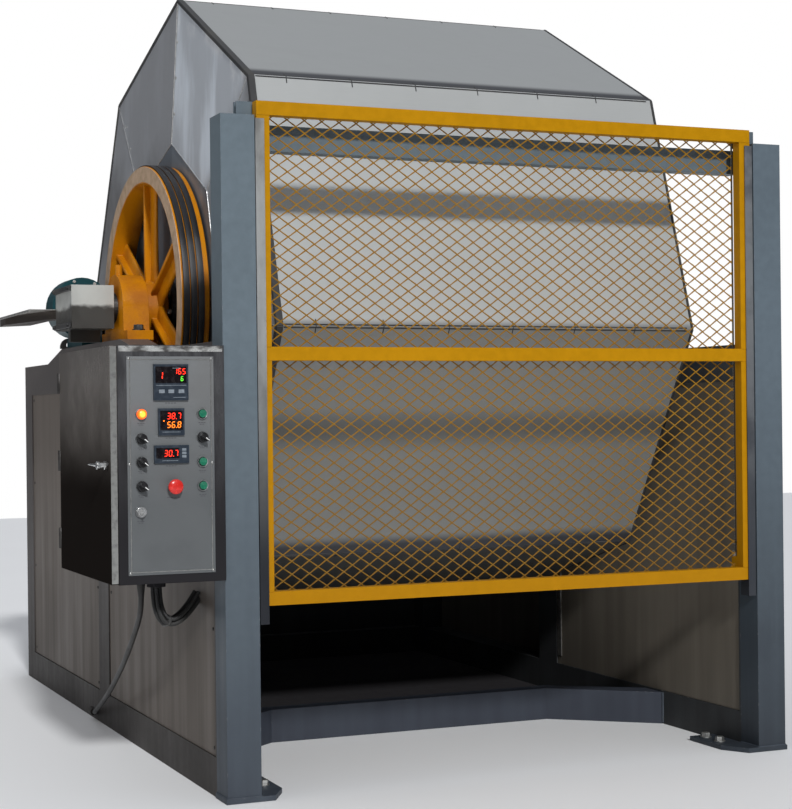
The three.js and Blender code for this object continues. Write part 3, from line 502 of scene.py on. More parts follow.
# A dark sheet closes the floor between the base rails, from the cross-member to the bulkhead; it is painted
# shade, standing for the deep shade on the floor inside the machine.
shade_sheet = Shape()
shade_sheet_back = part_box("rear_bulkhead")[0][1]
shade_sheet.block((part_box("left_side_frame")[1][0] - 0.004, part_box("front_crossmember")[1][1] - 0.01, 0.0008),
          (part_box("right_side_frame")[0][0] + 0.004, shade_sheet_back + 0.004, 0.0032))
shade_sheet_black = enamel("floor_shade_sheet_enamel", (0.050, 0.047, 0.050), (0.030, 0.028, 0.030),
                   gloss=0.6, chips=0.0, shine=0.1)
shade_sheet.object("floor_shade_sheet", shade_sheet_black, "root", "frame_paint")
for node in ("left_panel_front", "left_panel_rear", "right_panel_front", "right_panel_rear"):
    coat(node, panel_warm)
coat("right_inner_panel", inner_warm)


def plated(name, tone, rough=0.35):
    """Zinc-plated or plain steel small ware, a little stained."""
    paint = Paint(name, Metallic=1.0)
    stain = paint.noise(60, 5)
    colour = paint.mix(paint.step(stain, 0.4, 0.75), tone, tuple(0.55 * c for c in tone))
    return paint.done(colour, rough + 0.25 * stain, paint.noise(600, 2), depth=0.0002, strength=0.3)


zinc = plated("zinc_plate", (0.52, 0.52, 0.50))
dark_oiled = plated("oiled_steel", (0.075, 0.072, 0.07), rough=0.42)


def bolts(name, places, axis, across, height, material, body, slot="dark_steel"):
    """Hex heads on washers: places are the middles of their seats, across is the spanner size."""
    shape = Shape()
    radius = across / 2 / math.cos(math.pi / 6)
    for number, place in enumerate(places):
        washer = radius * 1.25
        shape.turned([(0, 0), (washer, 0), (washer, height * 0.2), (0, height * 0.2)], place, axis, 20)
        shape.turned([(0, 0), (radius, 0), (radius, height * 0.86), (radius * 0.9, height), (0, height)],
                     place, axis, 6, start=0.7 * number)
    shape.object(name, material, body, slot)


def screws(name, places, axis, radius, material, body, slot="stainless"):
    """Low round heads."""
    shape = Shape()
    for place in places:
        arc = np.linspace(0, np.pi / 2, 5)
        dome = [(radius * math.cos(a), radius * 0.45 * math.sin(a)) for a in arc]
        shape.turned([(0, 0), (radius, 0), *dome[1:-1], (0, radius * 0.45)], place, axis, 18)
    shape.object(name, material, body, slot)


def corners_of(node):
    """The lower and upper corner of a CAD node's box."""
    return [np.array(corner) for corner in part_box(node)]


SCREW_IN = 0.022  # from a panel's edge to its screws
SCREW_R = 0.0055
SEAT_GAP = 0.0001  # between a screw's seat and the sheet it sits on
for side_name, out in (("left", -1), ("right", 1)):
    screw_places = []
    for half_name in ("front", "rear"):
        low, high = corners_of(f"{side_name}_panel_{half_name}")
        face = high[0] if out > 0 else low[0]
        for y in (low[1] + SCREW_IN, high[1] - SCREW_IN):
            for z in np.linspace(low[2] + SCREW_IN, high[2] - SCREW_IN, 4):
                screw_places.append((face + out * SEAT_GAP, y, z))
    screws(f"{side_name}_panel_screws", screw_places, (out, 0, 0), SCREW_R, dark_oiled, "root")

# Each left panel has a bright folded lip along its front edge.
pale_lip_paint = plated("pale_lip", (0.62, 0.60, 0.56), rough=0.3)
lips = Shape()
for node in ("left_panel_front", "left_panel_rear"):
    low, high = corners_of(node)
    lips.block((low[0] - 0.0012, low[1] + 0.0005, low[2] + 0.001),
               (low[0] - 0.0001, low[1] + 0.004, high[2] - 0.001), 0.0003)
lips.object("panel_lips", pale_lip_paint, "root", "stainless")

# A stainless corner strip stands between the right inner panel and the rear half of that side.
inner_low, inner_high = corners_of("right_inner_panel")
strip = Shape()
strip.block((inner_low[0] - 0.004, inner_high[1] - 0.034, inner_low[2] + 0.03),
            (inner_low[0] - 0.0008, inner_high[1] - 0.004, inner_high[2] - 0.02), 0.0008)
strip.object("inner_corner_strip", pale_lip_paint, "root", "stainless")

# ------------------------------
# Front posts, lintel and base cross-member. Box section in the same blue-grey enamel, welded, with
# weld beads at the feet; the sheaves turn between two cheeks on each post's cap.
coat("left_front_post", frame_blue)
coat("front_lintel", frame_blue)
coat("right_front_post", right_blue_shaded)
coat("front_crossmember", base_blue_shaded)


def bead(shape, start, end, radius=0.004, pitch=0.006):
    """A weld bead: a bar whose thickness ripples once every pitch."""
    start, end = np.asarray(start, float), np.asarray(end, float)
    length = np.linalg.norm(end - start)
    steps = max(4, int(length / pitch * 4))
    share = np.linspace(0, 1, steps)[:, None]
    path = start + share * (end - start)
    ripple = 0.82 + 0.18 * np.abs(np.sin(share[:, 0] * length / pitch * np.pi))
    direction = (end - start) / length
    level = (0, 0, 1) if abs(direction[2]) < 0.9 else (0, 1, 0)
    tube(shape, path, radius * ripple, level, sides=6)


welds = Shape()
FOOT_T = 14
POST_W = 98
WIDTH = 1820
for mirror in (False, True):
    def across(x):
        return WIDTH - x if mirror else x
    for y in (0, 90):
        bead(welds, *from_corner([(across(0), y, FOOT_T), (across(POST_W), y, FOOT_T)]))
    for x in (0, POST_W):
        bead(welds, *from_corner([(across(x), 0, FOOT_T), (across(x), 90, FOOT_T)]))
    bead(welds, *from_corner([(across(POST_W), 525, 4), (across(POST_W), 525, 105)]), radius=0.005)
welds.object("frame_welds", frame_blue, "root", "frame_paint", smooth=60)

anchor_places = [(WIDTH - x if side else x, y, FOOT_T + 0.2) for side in (0, 1)
                 for x, y in ((150, 130), (150, 205))]
bolts("foot_bolts", from_corner(anchor_places), (0, 0, 1), 0.024, 0.015, zinc, "root")

# ------------------------------
# Guard hoist. Stainless channels guide the guard; a wire rope on each side goes from its lug over
# a sheave on the post and down inside the post to a counterweight.
def stainless(name, tone, rough=0.3, brush=(1, 1, 60), grain=22.0, smudge_and_sheen=0.5, wave=0.0, radius=0.0012,
              low_tone=None, metal=1.0, cloud_scale=2.6, cloud_stretch=(1, 1, 1), shade=None, dull_low=None):
    """Stainless sheet: brush lines along one axis, smudges mixed with painted patches of sheen, and on thin
    sheet a slow buckle. shade takes the paint and the colour so far, and returns the colour that goes on.
    dull_low holds the heights between which the shine fades out downwards."""
    paint = Paint(name, Metallic=metal)
    bright = None
    if dull_low:
        paint.surface.inputs["Specular IOR Level"].default_value = 0.0
        bright = metal * paint.step(paint.axis("Z"), *dull_low)
    lines = paint.noise(grain, 5, stretch=brush)
    cloud = paint.noise(cloud_scale, 5, stretch=cloud_stretch, shift=(3, 1, 2))
    # The clouds mix lighter and darker patches into the colour: smudges, and where they are strong, painted
    # reflections.
    smudge_and_sheen_mask = paint.step(cloud, 0.36, 0.66)
    dark = low_tone or tuple(0.62 * c for c in tone)
    colour = paint.mix(smudge_and_sheen * smudge_and_sheen_mask + 0.12 * lines, tone, dark)
    if shade:
        colour = shade(paint, colour)
    height = lines * 0.06
    if wave:
        height = height + paint.noise(1.9, 2) * wave
    roughness = rough + 0.14 * smudge_and_sheen_mask + 0.12 * lines
    return paint.done(colour, roughness, height, depth=0.004, strength=0.4, radius=radius,
                      metallic=bright)


def painted_shade_low(dark, low, high):
    """A painted shade that turns the colour to a dark tone from the height high down to low, in metres."""
    def shade(paint, colour):
        return paint.mix(1 - paint.step(paint.axis("Z"), low, high), colour, dark)
    return shade


# Painted light on both guide rails: the strong light and dark clouds along them stand for reflections, they
# darken downwards as painted shade, and the right rail is a darker copy, painted shade.
guide_steel = stainless("guide_stainless", (0.58, 0.585, 0.57), rough=0.26, brush=(60, 60, 2),
                        smudge_and_sheen=0.95, wave=0.7,
                        low_tone=(0.20, 0.195, 0.185), metal=0.6, cloud_scale=9, cloud_stretch=(1, 1, 0.45),
                        shade=painted_shade_low((0.026, 0.028, 0.034), 0.6, 1.4))
coat("left_guide_rail", guide_steel)
coat("right_guide_rail", stainless("right_guide_stainless", (0.30, 0.31, 0.32), rough=0.3, brush=(60, 60, 2),
                                   smudge_and_sheen=0.9, wave=0.5, low_tone=(0.10, 0.105, 0.115), metal=0.6,
                                   cloud_scale=9,
                                   shade=painted_shade_low((0.05, 0.055, 0.065), 0.5, 1.5)))
for node in ("left_sheave", "right_sheave", "left_counterweight", "right_counterweight"):
    coat(node, dark_oiled)


def wire_rope(name):
    """Galvanised wire rope: strands wind round, seen as slanting ridges."""
    paint = Paint(name, Metallic=0.9)
    spiral = paint.node("ShaderNodeTexWave", {"bands_direction": "DIAGONAL"},
                        {"Vector": paint.position(), "Scale": 130.0, "Distortion": 0.6})
    colour = paint.mix(spiral, (0.07, 0.07, 0.068), (0.36, 0.35, 0.33))
    return paint.done(colour, 0.4 + 0.2 * spiral, spiral, depth=0.001, strength=0.7)


rope_wire = wire_rope("rope_wire")
coat("left_lift_rope", rope_wire)
coat("right_lift_rope", rope_wire)
ROPE_R = 3
SHEAVE_R = 27
ROPE_X = 135
ROPE_Y = 60
SHEAVE_Z = 1885
over = Shape()
for mirror in (False, True):
    turn = np.linspace(0, np.pi, 24)
    centre_x = ROPE_X - SHEAVE_R
    arc_x = centre_x + SHEAVE_R * np.cos(turn)
    arc_z = SHEAVE_Z + SHEAVE_R * np.sin(turn)
    down_z = np.linspace(SHEAVE_Z - 4, 1760, 12)
    xs = np.concatenate([arc_x, np.full(12, arc_x[-1])])
    zs = np.concatenate([arc_z, down_z])
    xs = WIDTH - xs if mirror else xs
    tube(over, from_corner(np.stack([xs, np.full(36, ROPE_Y), zs], axis=1)), ROPE_R / 1000, (0, 1, 0), 10)
over.object("ropes_over_sheaves", rope_wire, "root", "dark_steel")

# Rope ends: a collar and two clamps where each rope meets the guard's lug.
eyes = Shape()
for x in (ROPE_X, WIDTH - ROPE_X):
    for z in (606, 636):
        eyes.block(from_corner((x - 8, ROPE_Y - 7, z)), from_corner((x + 8, ROPE_Y + 7, z + 10)), 0.0015)
for x in (ROPE_X, WIDTH - ROPE_X):
    eyes.turned([(0.0, -0.006), (0.010, -0.006), (0.010, 0.006), (0.0, 0.006)],
                from_corner((x, ROPE_Y, 604)), (0, 0, 1), 16)
eyes.object("rope_clamps", zinc, "guard", "dark_steel")

# ------------------------------
# Guard. A welded frame of yellow enamelled flat tube with two fields of expanded metal behind it.
guard_yellow = enamel("guard_enamel", (0.465, 0.218, 0.001), (0.36, 0.155, 0.001), gloss=0.36, chips=0.3,
                      bare=(0.25, 0.15, 0.06), shine=0.12)
coat("guard_frame", guard_yellow)
STILE_X = 106
GUARD_BAR = 38
CELL_W = 0.052
CELL_H = 0.0360
STRAND_W = 0.0034
STRAND_T = 0.0018
mesh_low, mesh_high = corners_of("guard_mesh")
mesh_y = (mesh_low[1] + mesh_high[1]) / 2


def expanded_field(low_z, high_z):
    """Strands in two slanting families. Each runs corner to corner of the diamonds and is cut at
    the field's edges; its middle line steps forwards and back by a share of its thickness, and it
    is widest at the knuckles, where it meets the other family."""
    shape = Shape()
    left, right = mesh_low[0], mesh_high[0]
    slope = CELL_H / CELL_W
    for lean in (1, -1):
        span = right - left
        rise = span * slope
        starts = np.arange(low_z - rise if lean > 0 else low_z, high_z + (0 if lean > 0 else rise), CELL_H)
        for z0 in starts:
            first, last = sorted((((low_z - z0) * lean / slope), ((high_z - z0) * lean / slope)))
            x0, x1 = max(0, first), min(span, last)
            if x1 - x0 < 0.012:
                continue
            knots = np.arange(math.ceil(x0 / (CELL_W / 4)), math.floor(x1 / (CELL_W / 4)) + 1) * CELL_W / 4
            xs = np.unique(np.concatenate([[x0], knots[(knots > x0 + 1e-4) & (knots < x1 - 1e-4)], [x1]]))
            phase = np.cos(xs / (CELL_W / 2) * 2 * np.pi)
            half = STRAND_W / 2 * (1 + 0.16 * phase)
            depth = mesh_y + lean * 0.0007 * phase
            zs = z0 + lean * xs * slope
            across = np.array([-lean * slope, 0, 1.0]) / math.hypot(slope, 1)
            middle = np.stack([left + xs, depth, zs], axis=1)
            corners = [(1, 1), (1, -1), (-1, -1), (-1, 1)]
            rings = np.stack([middle + a * half[:, None] * across + [0, b * STRAND_T / 2, 0]
                              for a, b in corners], axis=1)
            shape.grid(rings, ends=False)
    return shape


expanded = enamel("mesh_enamel", (0.30, 0.150, 0.010), (0.14, 0.075, 0.02), gloss=0.4, chips=0.0, shine=0.15)
MID_Z = 1.219
fields = ((mesh_low[2], MID_Z - 0.004), (MID_Z + 0.004, mesh_high[2]))
for name, (low_z, high_z) in zip(("mesh_lower", "mesh_upper"), fields):
    lattice = expanded_field(low_z, high_z).object(
        name, expanded, "guard", "guard_paint", "guard_mesh" if name == "mesh_lower" else None, smooth=20)
    lattice.visible_shadow = False  # the strands are too fine for the lamp to draw their shadows

# Weld beads across the front of the frame's joints.
guard_welds = Shape()
for x in (STILE_X + GUARD_BAR, WIDTH - STILE_X - GUARD_BAR):
    for z in (568, 1200, 1238, 1871):
        sign = 1 if x < WIDTH / 2 else -1
        bead(guard_welds, *from_corner([(x - sign * 36, 7.2, z), (x - sign * 2, 7.2, z)]), radius=0.0018)
guard_welds.object("guard_weld_beads", guard_yellow, "guard", "guard_paint", smooth=60)

# ------------------------------
# Drum. Eight satin stainless sheets with a sealed seam along each edge, two end plates that rise
# to flat bosses, hollow stub axles with bolted flanges, and a door on one of the flats.
AXLE = from_corner((0, 1260, 1420))
DRUM_R = 1.042
DRUM_TURN = math.radians(6.2)
BOSS_R = 0.560
DRUM_LEFT = from_corner((242, 0, 0))[0]
DRUM_RIGHT = from_corner((1650, 0, 0))[0]
corner_angle = DRUM_TURN + np.arange(8) * np.pi / 4


def turn_on_drum(paint):
    """How far round the axle a point lies from the drum's first corner, growing towards the front:
    the arctangent of its two offsets from the axle, less the first corner's own turn."""
    back = AXLE[1] - paint.axis("Y")
    up = paint.axis("Z") - AXLE[2]
    return paint.math("ARCTAN2", back, up) - DRUM_TURN


def flats_and_bends(paint, colour):
    """Painted shade makes every other flat a darker sheet, paler on top, and the flat that rests lowest in
    front darker still; a painted reflection darkens each flat in the last few centimetres before its bend."""
    def degrees(value, low, high):
        return paint.step(value, math.radians(low), math.radians(high))
    turn = turn_on_drum(paint)
    eighth = paint.math("FLOORED_MODULO", turn, math.pi / 4)
    quarter = paint.math("FLOORED_MODULO", turn, math.pi / 2)
    lap = paint.math("FLOORED_MODULO", turn, 2 * math.pi)
    # Painted shade: every other flat is darker, the one on top less so than the one below it.
    shaded_flat = 1 - degrees(quarter, 44.9, 45.1)
    shaded_flat_tone = paint.mix(degrees(turn, 53.8, 73.8), (0.30, 0.31, 0.31), (0.205, 0.205, 0.196))
    sheet = paint.mix(shaded_flat * 0.9, colour, shaded_flat_tone)
    # Painted shade: the flat resting lowest in front is darkened.
    shaded_lowest_flat = degrees(lap, 134.9, 135.1) * (1 - degrees(lap, 179.9, 180.1))
    sheet = paint.mix(shaded_lowest_flat * 0.85, sheet, (0.040, 0.037, 0.032))
    # Painted reflection: a dark band along each flat just before its bend.
    wide = shaded_flat * degrees(eighth, 41.2, 43.6)
    narrow = (1 - shaded_flat) * degrees(eighth, 43.6, 44.8)
    return paint.mix(wide * 0.95 + narrow * 0.5, sheet, (0.025, 0.026, 0.032))


drum_satin = stainless("drum_satin", (0.425, 0.435, 0.43), rough=0.42, brush=(2, 60, 60), grain=9.0,
                       smudge_and_sheen=0.16, wave=0.25, metal=0.16, shade=flats_and_bends)


def painted_light_on_end(paint, colour):
    """Painted light on the end plate: the facet before the top crease is painted bright and streaked, with
    white painted highlights near the rim; pale wipes lie all over, and the boss is darker and bluer.
    The boss is an octagon: its edge lies where the distance times the cosine of the turn from the
    nearest flat's middle equals the flat's own distance."""
    turn = turn_on_drum(paint)
    back = AXLE[1] - paint.axis("Y")
    up = paint.axis("Z") - AXLE[2]
    out = paint.math("SQRT", back * back + up * up)
    wipe = paint.step(paint.noise(2.3, 4, stretch=(1, 3.2, 0.8), shift=(0, 0.35, 0.1)), 0.46, 0.66)
    # Painted light: the facet just forward of the top crease is brighter, as if lit.
    lit_facet = paint.step(turn, 0, math.radians(1)) * (1 - paint.step(turn, math.radians(40), math.radians(47)))
    lit_and_streaked = paint.mix(lit_facet * (0.5 + 0.4 * wipe) + 0.1 * wipe, colour, (0.80, 0.86, 0.93))
    # Painted highlights: white patches near the rim on that facet.
    rim_highlight = paint.step(out + 0.05 * paint.noise(7, 3), 0.93, 1.0) * paint.step(paint.noise(9, 4), 0.4, 0.6)
    rim_highlighted = paint.mix(rim_highlight * lit_facet * 0.8, lit_and_streaked, (1.0, 1.0, 1.0))
    eighth = paint.math("FLOORED_MODULO", turn, math.pi / 4)
    cosine = paint.math("COSINE", eighth - math.pi / 8)
    flat = BOSS_R * math.cos(math.pi / 8)
    boss = 1 - paint.step(out * cosine, flat - 0.004, flat)
    return paint.mix(boss * 0.75, rim_highlighted, (0.10, 0.13, 0.165))


end_satin = stainless("drum_end_satin", (0.36, 0.37, 0.39), rough=0.3, brush=(30, 30, 1.5), grain=14.0,
                      smudge_and_sheen=0.8, wave=2.2, metal=0.34, low_tone=(0.15, 0.147, 0.15), cloud_scale=2.2,
                      shade=painted_light_on_end)
coat("drum_shell", drum_satin)
coat("drum_door", drum_satin)
coat("drum_end_left", end_satin)
coat("drum_end_right", end_satin)
coat("left_stub_axle", dark_oiled)
coat("right_stub_axle", dark_oiled)


def on_drum(x, radius, angle):
    """A point of the drum: radius out from the axle, angle turned from straight up to the front."""
    return np.array([x, AXLE[1] - radius * math.sin(angle), AXLE[2] + radius * math.cos(angle)])


def turn_about_x(angle):
    """The turn that takes straight up to angle towards the front."""
    c, s = math.cos(angle), math.sin(angle)
    return np.array([[1, 0, 0], [0, c, -s], [0, s, c]])


def drum_block(shape, angle, xs, backs, outs, chamfer):
    """A block laid out as if its place on the drum were straight up, then turned to angle: xs along
    the axle, backs behind it and outs above it."""
    low, high = (AXLE * (0, 1, 1) + (xs[i], backs[i], outs[i]) for i in (0, 1))
    shape.block(low, high, chamfer, turn_about_x(angle), AXLE * (0, 1, 1))


seam_dark = sheath("seam_sealant", 0.022)
seams = Shape()
ticks = Shape()
TICK_PITCH = 0.215
TICK_LONG = 0.022
TICK_HALF = 0.0016
SEAM_HALF = 0.0065
FLAT_OUT = DRUM_R * math.cos(np.pi / 8)  # from the axle to the middle of a flat
HALF_FLAT = DRUM_R * math.sin(np.pi / 8)
for angle in corner_angle:
    drum_block(seams, angle, (DRUM_LEFT + 0.02, DRUM_RIGHT - 0.02), (-SEAM_HALF, SEAM_HALF),
               (DRUM_R - 0.0045, DRUM_R - 0.0008), 0.0015)
    for x in np.arange(DRUM_LEFT + 0.12, DRUM_RIGHT - 0.05, TICK_PITCH):
        for lean in (-1, 1):
            backs = sorted((lean * HALF_FLAT, lean * (HALF_FLAT - TICK_LONG)))
            drum_block(ticks, angle + lean * np.pi / 8, (x - TICK_HALF, x + TICK_HALF), backs,
                       (FLAT_OUT - 0.0005, FLAT_OUT + 0.0012), 0.0005)
seams.object("drum_seams", seam_dark, "drum", "stainless")
ticks.object("drum_seam_tacks", seam_dark, "drum", "stainless")

END_RISE = 0.012  # how far an end plate's boss stands out past its rim
rims = Shape()
creases = Shape()
for rim_x, out in ((DRUM_LEFT, -1), (DRUM_RIGHT, 1)):
    for angle in corner_angle:
        rim_xs = sorted((rim_x - out * (0.019 if out < 0 else 0.006), rim_x + out * 0.0035))
        drum_block(rims, angle + np.pi / 8, rim_xs, (-HALF_FLAT, HALF_FLAT),
                   (FLAT_OUT - 0.012, FLAT_OUT + 0.0022), 0.002)
        inner = on_drum(rim_x + out * (END_RISE + 0.0005), BOSS_R, angle)
        outer = on_drum(rim_x + out * 0.0015, DRUM_R - 0.012, angle)
        following = on_drum(rim_x + out * (END_RISE + 0.0005), BOSS_R, angle + np.pi / 4)
        for end in (outer, following):
            bead(creases, inner, end, radius=0.0022, pitch=0.012)
rims.object("drum_rim_flanges", seam_dark, "drum", "stainless")
bright_weld = plated("ground_weld", (0.66, 0.66, 0.65), rough=0.22)
creases.object("drum_end_welds", bright_weld, "drum", "stainless", smooth=60)

rivet_places = []
for angle in corner_angle:
    for radius in (0.66, 0.78, 0.90):
        rise = END_RISE * (DRUM_R - radius) / (DRUM_R - BOSS_R)
        place = on_drum(DRUM_LEFT - rise - 0.0008, radius, angle)
        sideways = on_drum(0, 1, angle + np.pi / 2) - on_drum(0, 0, 0)
        rivet_places.append(place + 0.018 * sideways)
screws("drum_end_rivets", rivet_places, (-1, 0, 0), 0.006, bright_weld, "drum")
for body_side, rim_x, out in (("left", DRUM_LEFT, -1), ("right", DRUM_RIGHT, 1)):
    seat_x = rim_x + out * (END_RISE + 0.0003 + 0.018)
    places = [on_drum(seat_x, 0.086, a) for a in np.arange(8) * np.pi / 4 + 0.2]
    bolts(f"{body_side}_flange_bolts", places, (out, 0, 0), 0.019, 0.012, zinc, "drum")

# Hinge leaves on the flat that carries the door, along its lower edge.
DOOR_ANGLE = DRUM_TURN + 6.5 * np.pi / 4
hinges = Shape()
for x in (DRUM_LEFT + 0.40, DRUM_LEFT + 0.704, DRUM_LEFT + 1.008):
    drum_block(hinges, DOOR_ANGLE, (x - 0.045, x + 0.045), (0.272, 0.305),
               (FLAT_OUT + 0.0004, FLAT_OUT + 0.006), 0.001)
hinges.object("door_hinge_leaves", zinc, "drum", "stainless")

# ------------------------------
# Plummer blocks. Cast housings in orange-yellow enamel, each held down by two big bolts and fed
# by a grease cup on its cap.
def casting(name, tone):
    """Thick enamel on sand-cast iron: pitted skin, oily brown grime in the hollows."""
    paint = Paint(name, Metallic=0.0, Specular_IOR_Level=0.22)
    skin = paint.noise(150, 5)
    cloud = paint.noise(7, 5)
    grime = paint.step(cloud * 0.88 + skin * 0.12, 0.46, 0.72)
    base = paint.mix(grime * 0.6, tone, (tone[0] * 0.5, tone[1] * 0.32, tone[2] * 0.5))
    edge = paint.worn(0.005) * paint.step(paint.noise(45, 4), 0.55, 0.7)
    colour = paint.mix(edge * 0.35, base, (0.75, 0.47, 0.12))
    return paint.done(colour, 0.3 + 0.3 * grime, skin, depth=0.0012, strength=0.5, radius=0.003)


drive_orange = casting("drive_casting_enamel", (0.56, 0.205, 0.002))
coat("left_bearing_block", drive_orange)
coat("right_bearing_block", drive_orange)
hold_down = []
for x in (82, WIDTH - 82):
    for y in (1260 - 145, 1260 + 145):
        hold_down.append((x, y, 1337.4))
bolts("bearing_bolts", from_corner(hold_down), (0, 0, 1), 0.030, 0.019, dark_oiled, "root")

# ------------------------------
# Belt drive. The big pulley is a casting with six waisted arms and three grooves; its rim's sides
# are turned bright and varnished. Three V-belts run to the motor pulley low at the back.
PULLEY_R = 0.480
PULLEY_X = from_corner((130, 0, 0))[0]
PULLEY_FAR = from_corner((222, 0, 0))[0]
BELT_X = [from_corner((146 + 24 * i, 0, 0))[0] for i in range(3)]
BELT_TOP = 0.010
BELT_FLOOR = 0.0065
RIM_INNER = 0.424
HUB_R = 0.092
BORE_R = 0.0504


def groove_points(radius):
    """A pulley rim's outside from its left face to its right one, with a V groove for each belt."""
    points = []
    for x in BELT_X:
        points += [(radius, x - BELT_TOP - 0.0005), (radius - 0.0118, x - BELT_FLOOR),
                   (radius - 0.0118, x + BELT_FLOOR), (radius, x + BELT_TOP + 0.0005)]
    return points


wheel = Shape()
centre = np.array([0, AXLE[1], AXLE[2]])
rim_profile = [(RIM_INNER, PULLEY_X), (RIM_INNER + 0.004, PULLEY_X), (PULLEY_R - 0.002, PULLEY_X),
               (PULLEY_R, PULLEY_X + 0.002), *groove_points(PULLEY_R), (PULLEY_R, PULLEY_FAR - 0.002),
               (PULLEY_R - 0.002, PULLEY_FAR), (RIM_INNER + 0.004, PULLEY_FAR),
               (RIM_INNER, PULLEY_FAR - 0.004),
               (RIM_INNER - 0.010, PULLEY_X + 0.056), (RIM_INNER - 0.010, PULLEY_X + 0.036)]
wheel.turned(rim_profile, centre, (1, 0, 0), 192, closed=True)
hub_profile = [(BORE_R, PULLEY_X + 0.001), (0.078, PULLEY_X + 0.001), (HUB_R - 0.008, PULLEY_X + 0.004),
               (HUB_R, PULLEY_X + 0.03), (HUB_R, PULLEY_X + 0.06), (HUB_R - 0.008, PULLEY_X + 0.076),
               (BORE_R, PULLEY_X + 0.077)]
wheel.turned(hub_profile, centre, (1, 0, 0), 96, closed=True)
web_x = PULLEY_X + 0.048
for number in range(6):
    reach = np.linspace(HUB_R - 0.014, RIM_INNER + 0.002, 22)
    share = (reach - reach[0]) / (reach[-1] - reach[0])
    flare = 0.010 * (np.exp(-share / 0.07) + np.exp(-(1 - share) / 0.06))
    half_width = 0.044 + 0.006 * share + 0.8 * flare
    half_thick = 0.0085 + 0.0035 * (1 - share) + 0.3 * flare
    around = np.arange(20) * 2 * np.pi / 20
    bulge = np.sign(np.cos(around)) * np.abs(np.cos(around)) ** 0.6
    swell = np.sign(np.sin(around)) * np.abs(np.sin(around)) ** 0.8
    arm = np.stack([
        web_x + half_thick[:, None] * swell[None],
        half_width[:, None] * bulge[None] + 0 * reach[:, None],
        np.broadcast_to(reach[:, None], (22, 20)),
    ], axis=-1)
    wheel.grid(arm @ turn_about_x(number * np.pi / 3).T + centre)
    drum_block(wheel, number * np.pi / 3, (web_x - 0.032, web_x), (-0.007, 0.007),
               (HUB_R - 0.01, RIM_INNER + 0.004), 0.003)
wheel.object("drum_pulley_casting", drive_orange, "drum", "drive_paint", "drum_pulley", smooth=40)

rim_paint = Paint("turned_rim", Metallic=0.2)
turned_lines = rim_paint.noise(30, 5)
rim_tone = rim_paint.mix(rim_paint.step(turned_lines, 0.35, 0.7), (0.56, 0.40, 0.27), (0.42, 0.29, 0.18))
rim_bare = rim_paint.done(rim_tone, 0.35 + 0.2 * turned_lines, turned_lines, depth=0.0005, strength=0.3)
rim_face = Shape()
rim_face.turned([(RIM_INNER + 0.003, PULLEY_X - 0.0010), (PULLEY_R - 0.002, PULLEY_X - 0.0010),
                 (PULLEY_R - 0.0015, PULLEY_X + 0.0004), (RIM_INNER + 0.003, PULLEY_X + 0.0004)],
                centre, (1, 0, 0), 192, closed=True)
rim_face.object("pulley_rim_face", rim_bare, "drum", "drive_paint")
hub_bolts = [on_drum(PULLEY_X + 0.001, 0.068, a) for a in (0.5, 2.6, 4.7)]
bolts("pulley_hub_bolts", hub_bolts, (-1, 0, 0), 0.013, 0.007, dark_oiled, "drum")

belt_black = Paint("belt_rubber", Metallic=0.0, Specular_IOR_Level=0.4)
weave = belt_black.noise(240, 3)
scuff = belt_black.step(belt_black.noise(5, 5), 0.45, 0.75)
belt_material = belt_black.done(belt_black.mix(scuff, (0.010, 0.010, 0.012), (0.045, 0.045, 0.048)),
                                0.38 + 0.2 * scuff, weave, depth=0.0004, strength=0.6)
MOTOR_Y, MOTOR_Z = from_corner((0, 2160, 430))[1:]
MOTOR_R = 0.120


def belt_line(big, small, points):
    """The belt's path round both pulleys, as arcs joined by the straight runs that touch them."""
    reach = math.hypot(MOTOR_Y - AXLE[1], MOTOR_Z - AXLE[2])
    line = math.atan2(MOTOR_Z - AXLE[2], MOTOR_Y - AXLE[1])
    lean = math.acos((big - small) / reach)
    wide = np.linspace(line + lean, line - lean + 2 * np.pi, points)
    tight = np.linspace(line - lean, line + lean, points // 3)
    first = np.stack([AXLE[1] + big * np.cos(wide), AXLE[2] + big * np.sin(wide)], axis=1)
    second = np.stack([MOTOR_Y + small * np.cos(tight), MOTOR_Z + small * np.sin(tight)], axis=1)
    return np.concatenate([first, second])


for number, x in enumerate(BELT_X, 1):
    belt = Shape()
    section = [(-0.0100, 0.0040), (-0.0085, 0.0046), (0.0085, 0.0046), (0.0100, 0.0040),
               (0.0066, -0.0100), (-0.0066, -0.0100)]
    rings = []
    for across, rise in section:
        line = belt_line(PULLEY_R + rise, MOTOR_R + rise, 132)
        rings.append(np.concatenate([np.full((len(line), 1), x + across), line], axis=1))
    loop = np.stack(rings, axis=1)
    belt.grid(np.concatenate([loop, loop[:1]]), ends=False)
    belt.object(f"belt_{number}", belt_material, "root", "belt_rubber", f"v_belt_{number}", smooth=30)

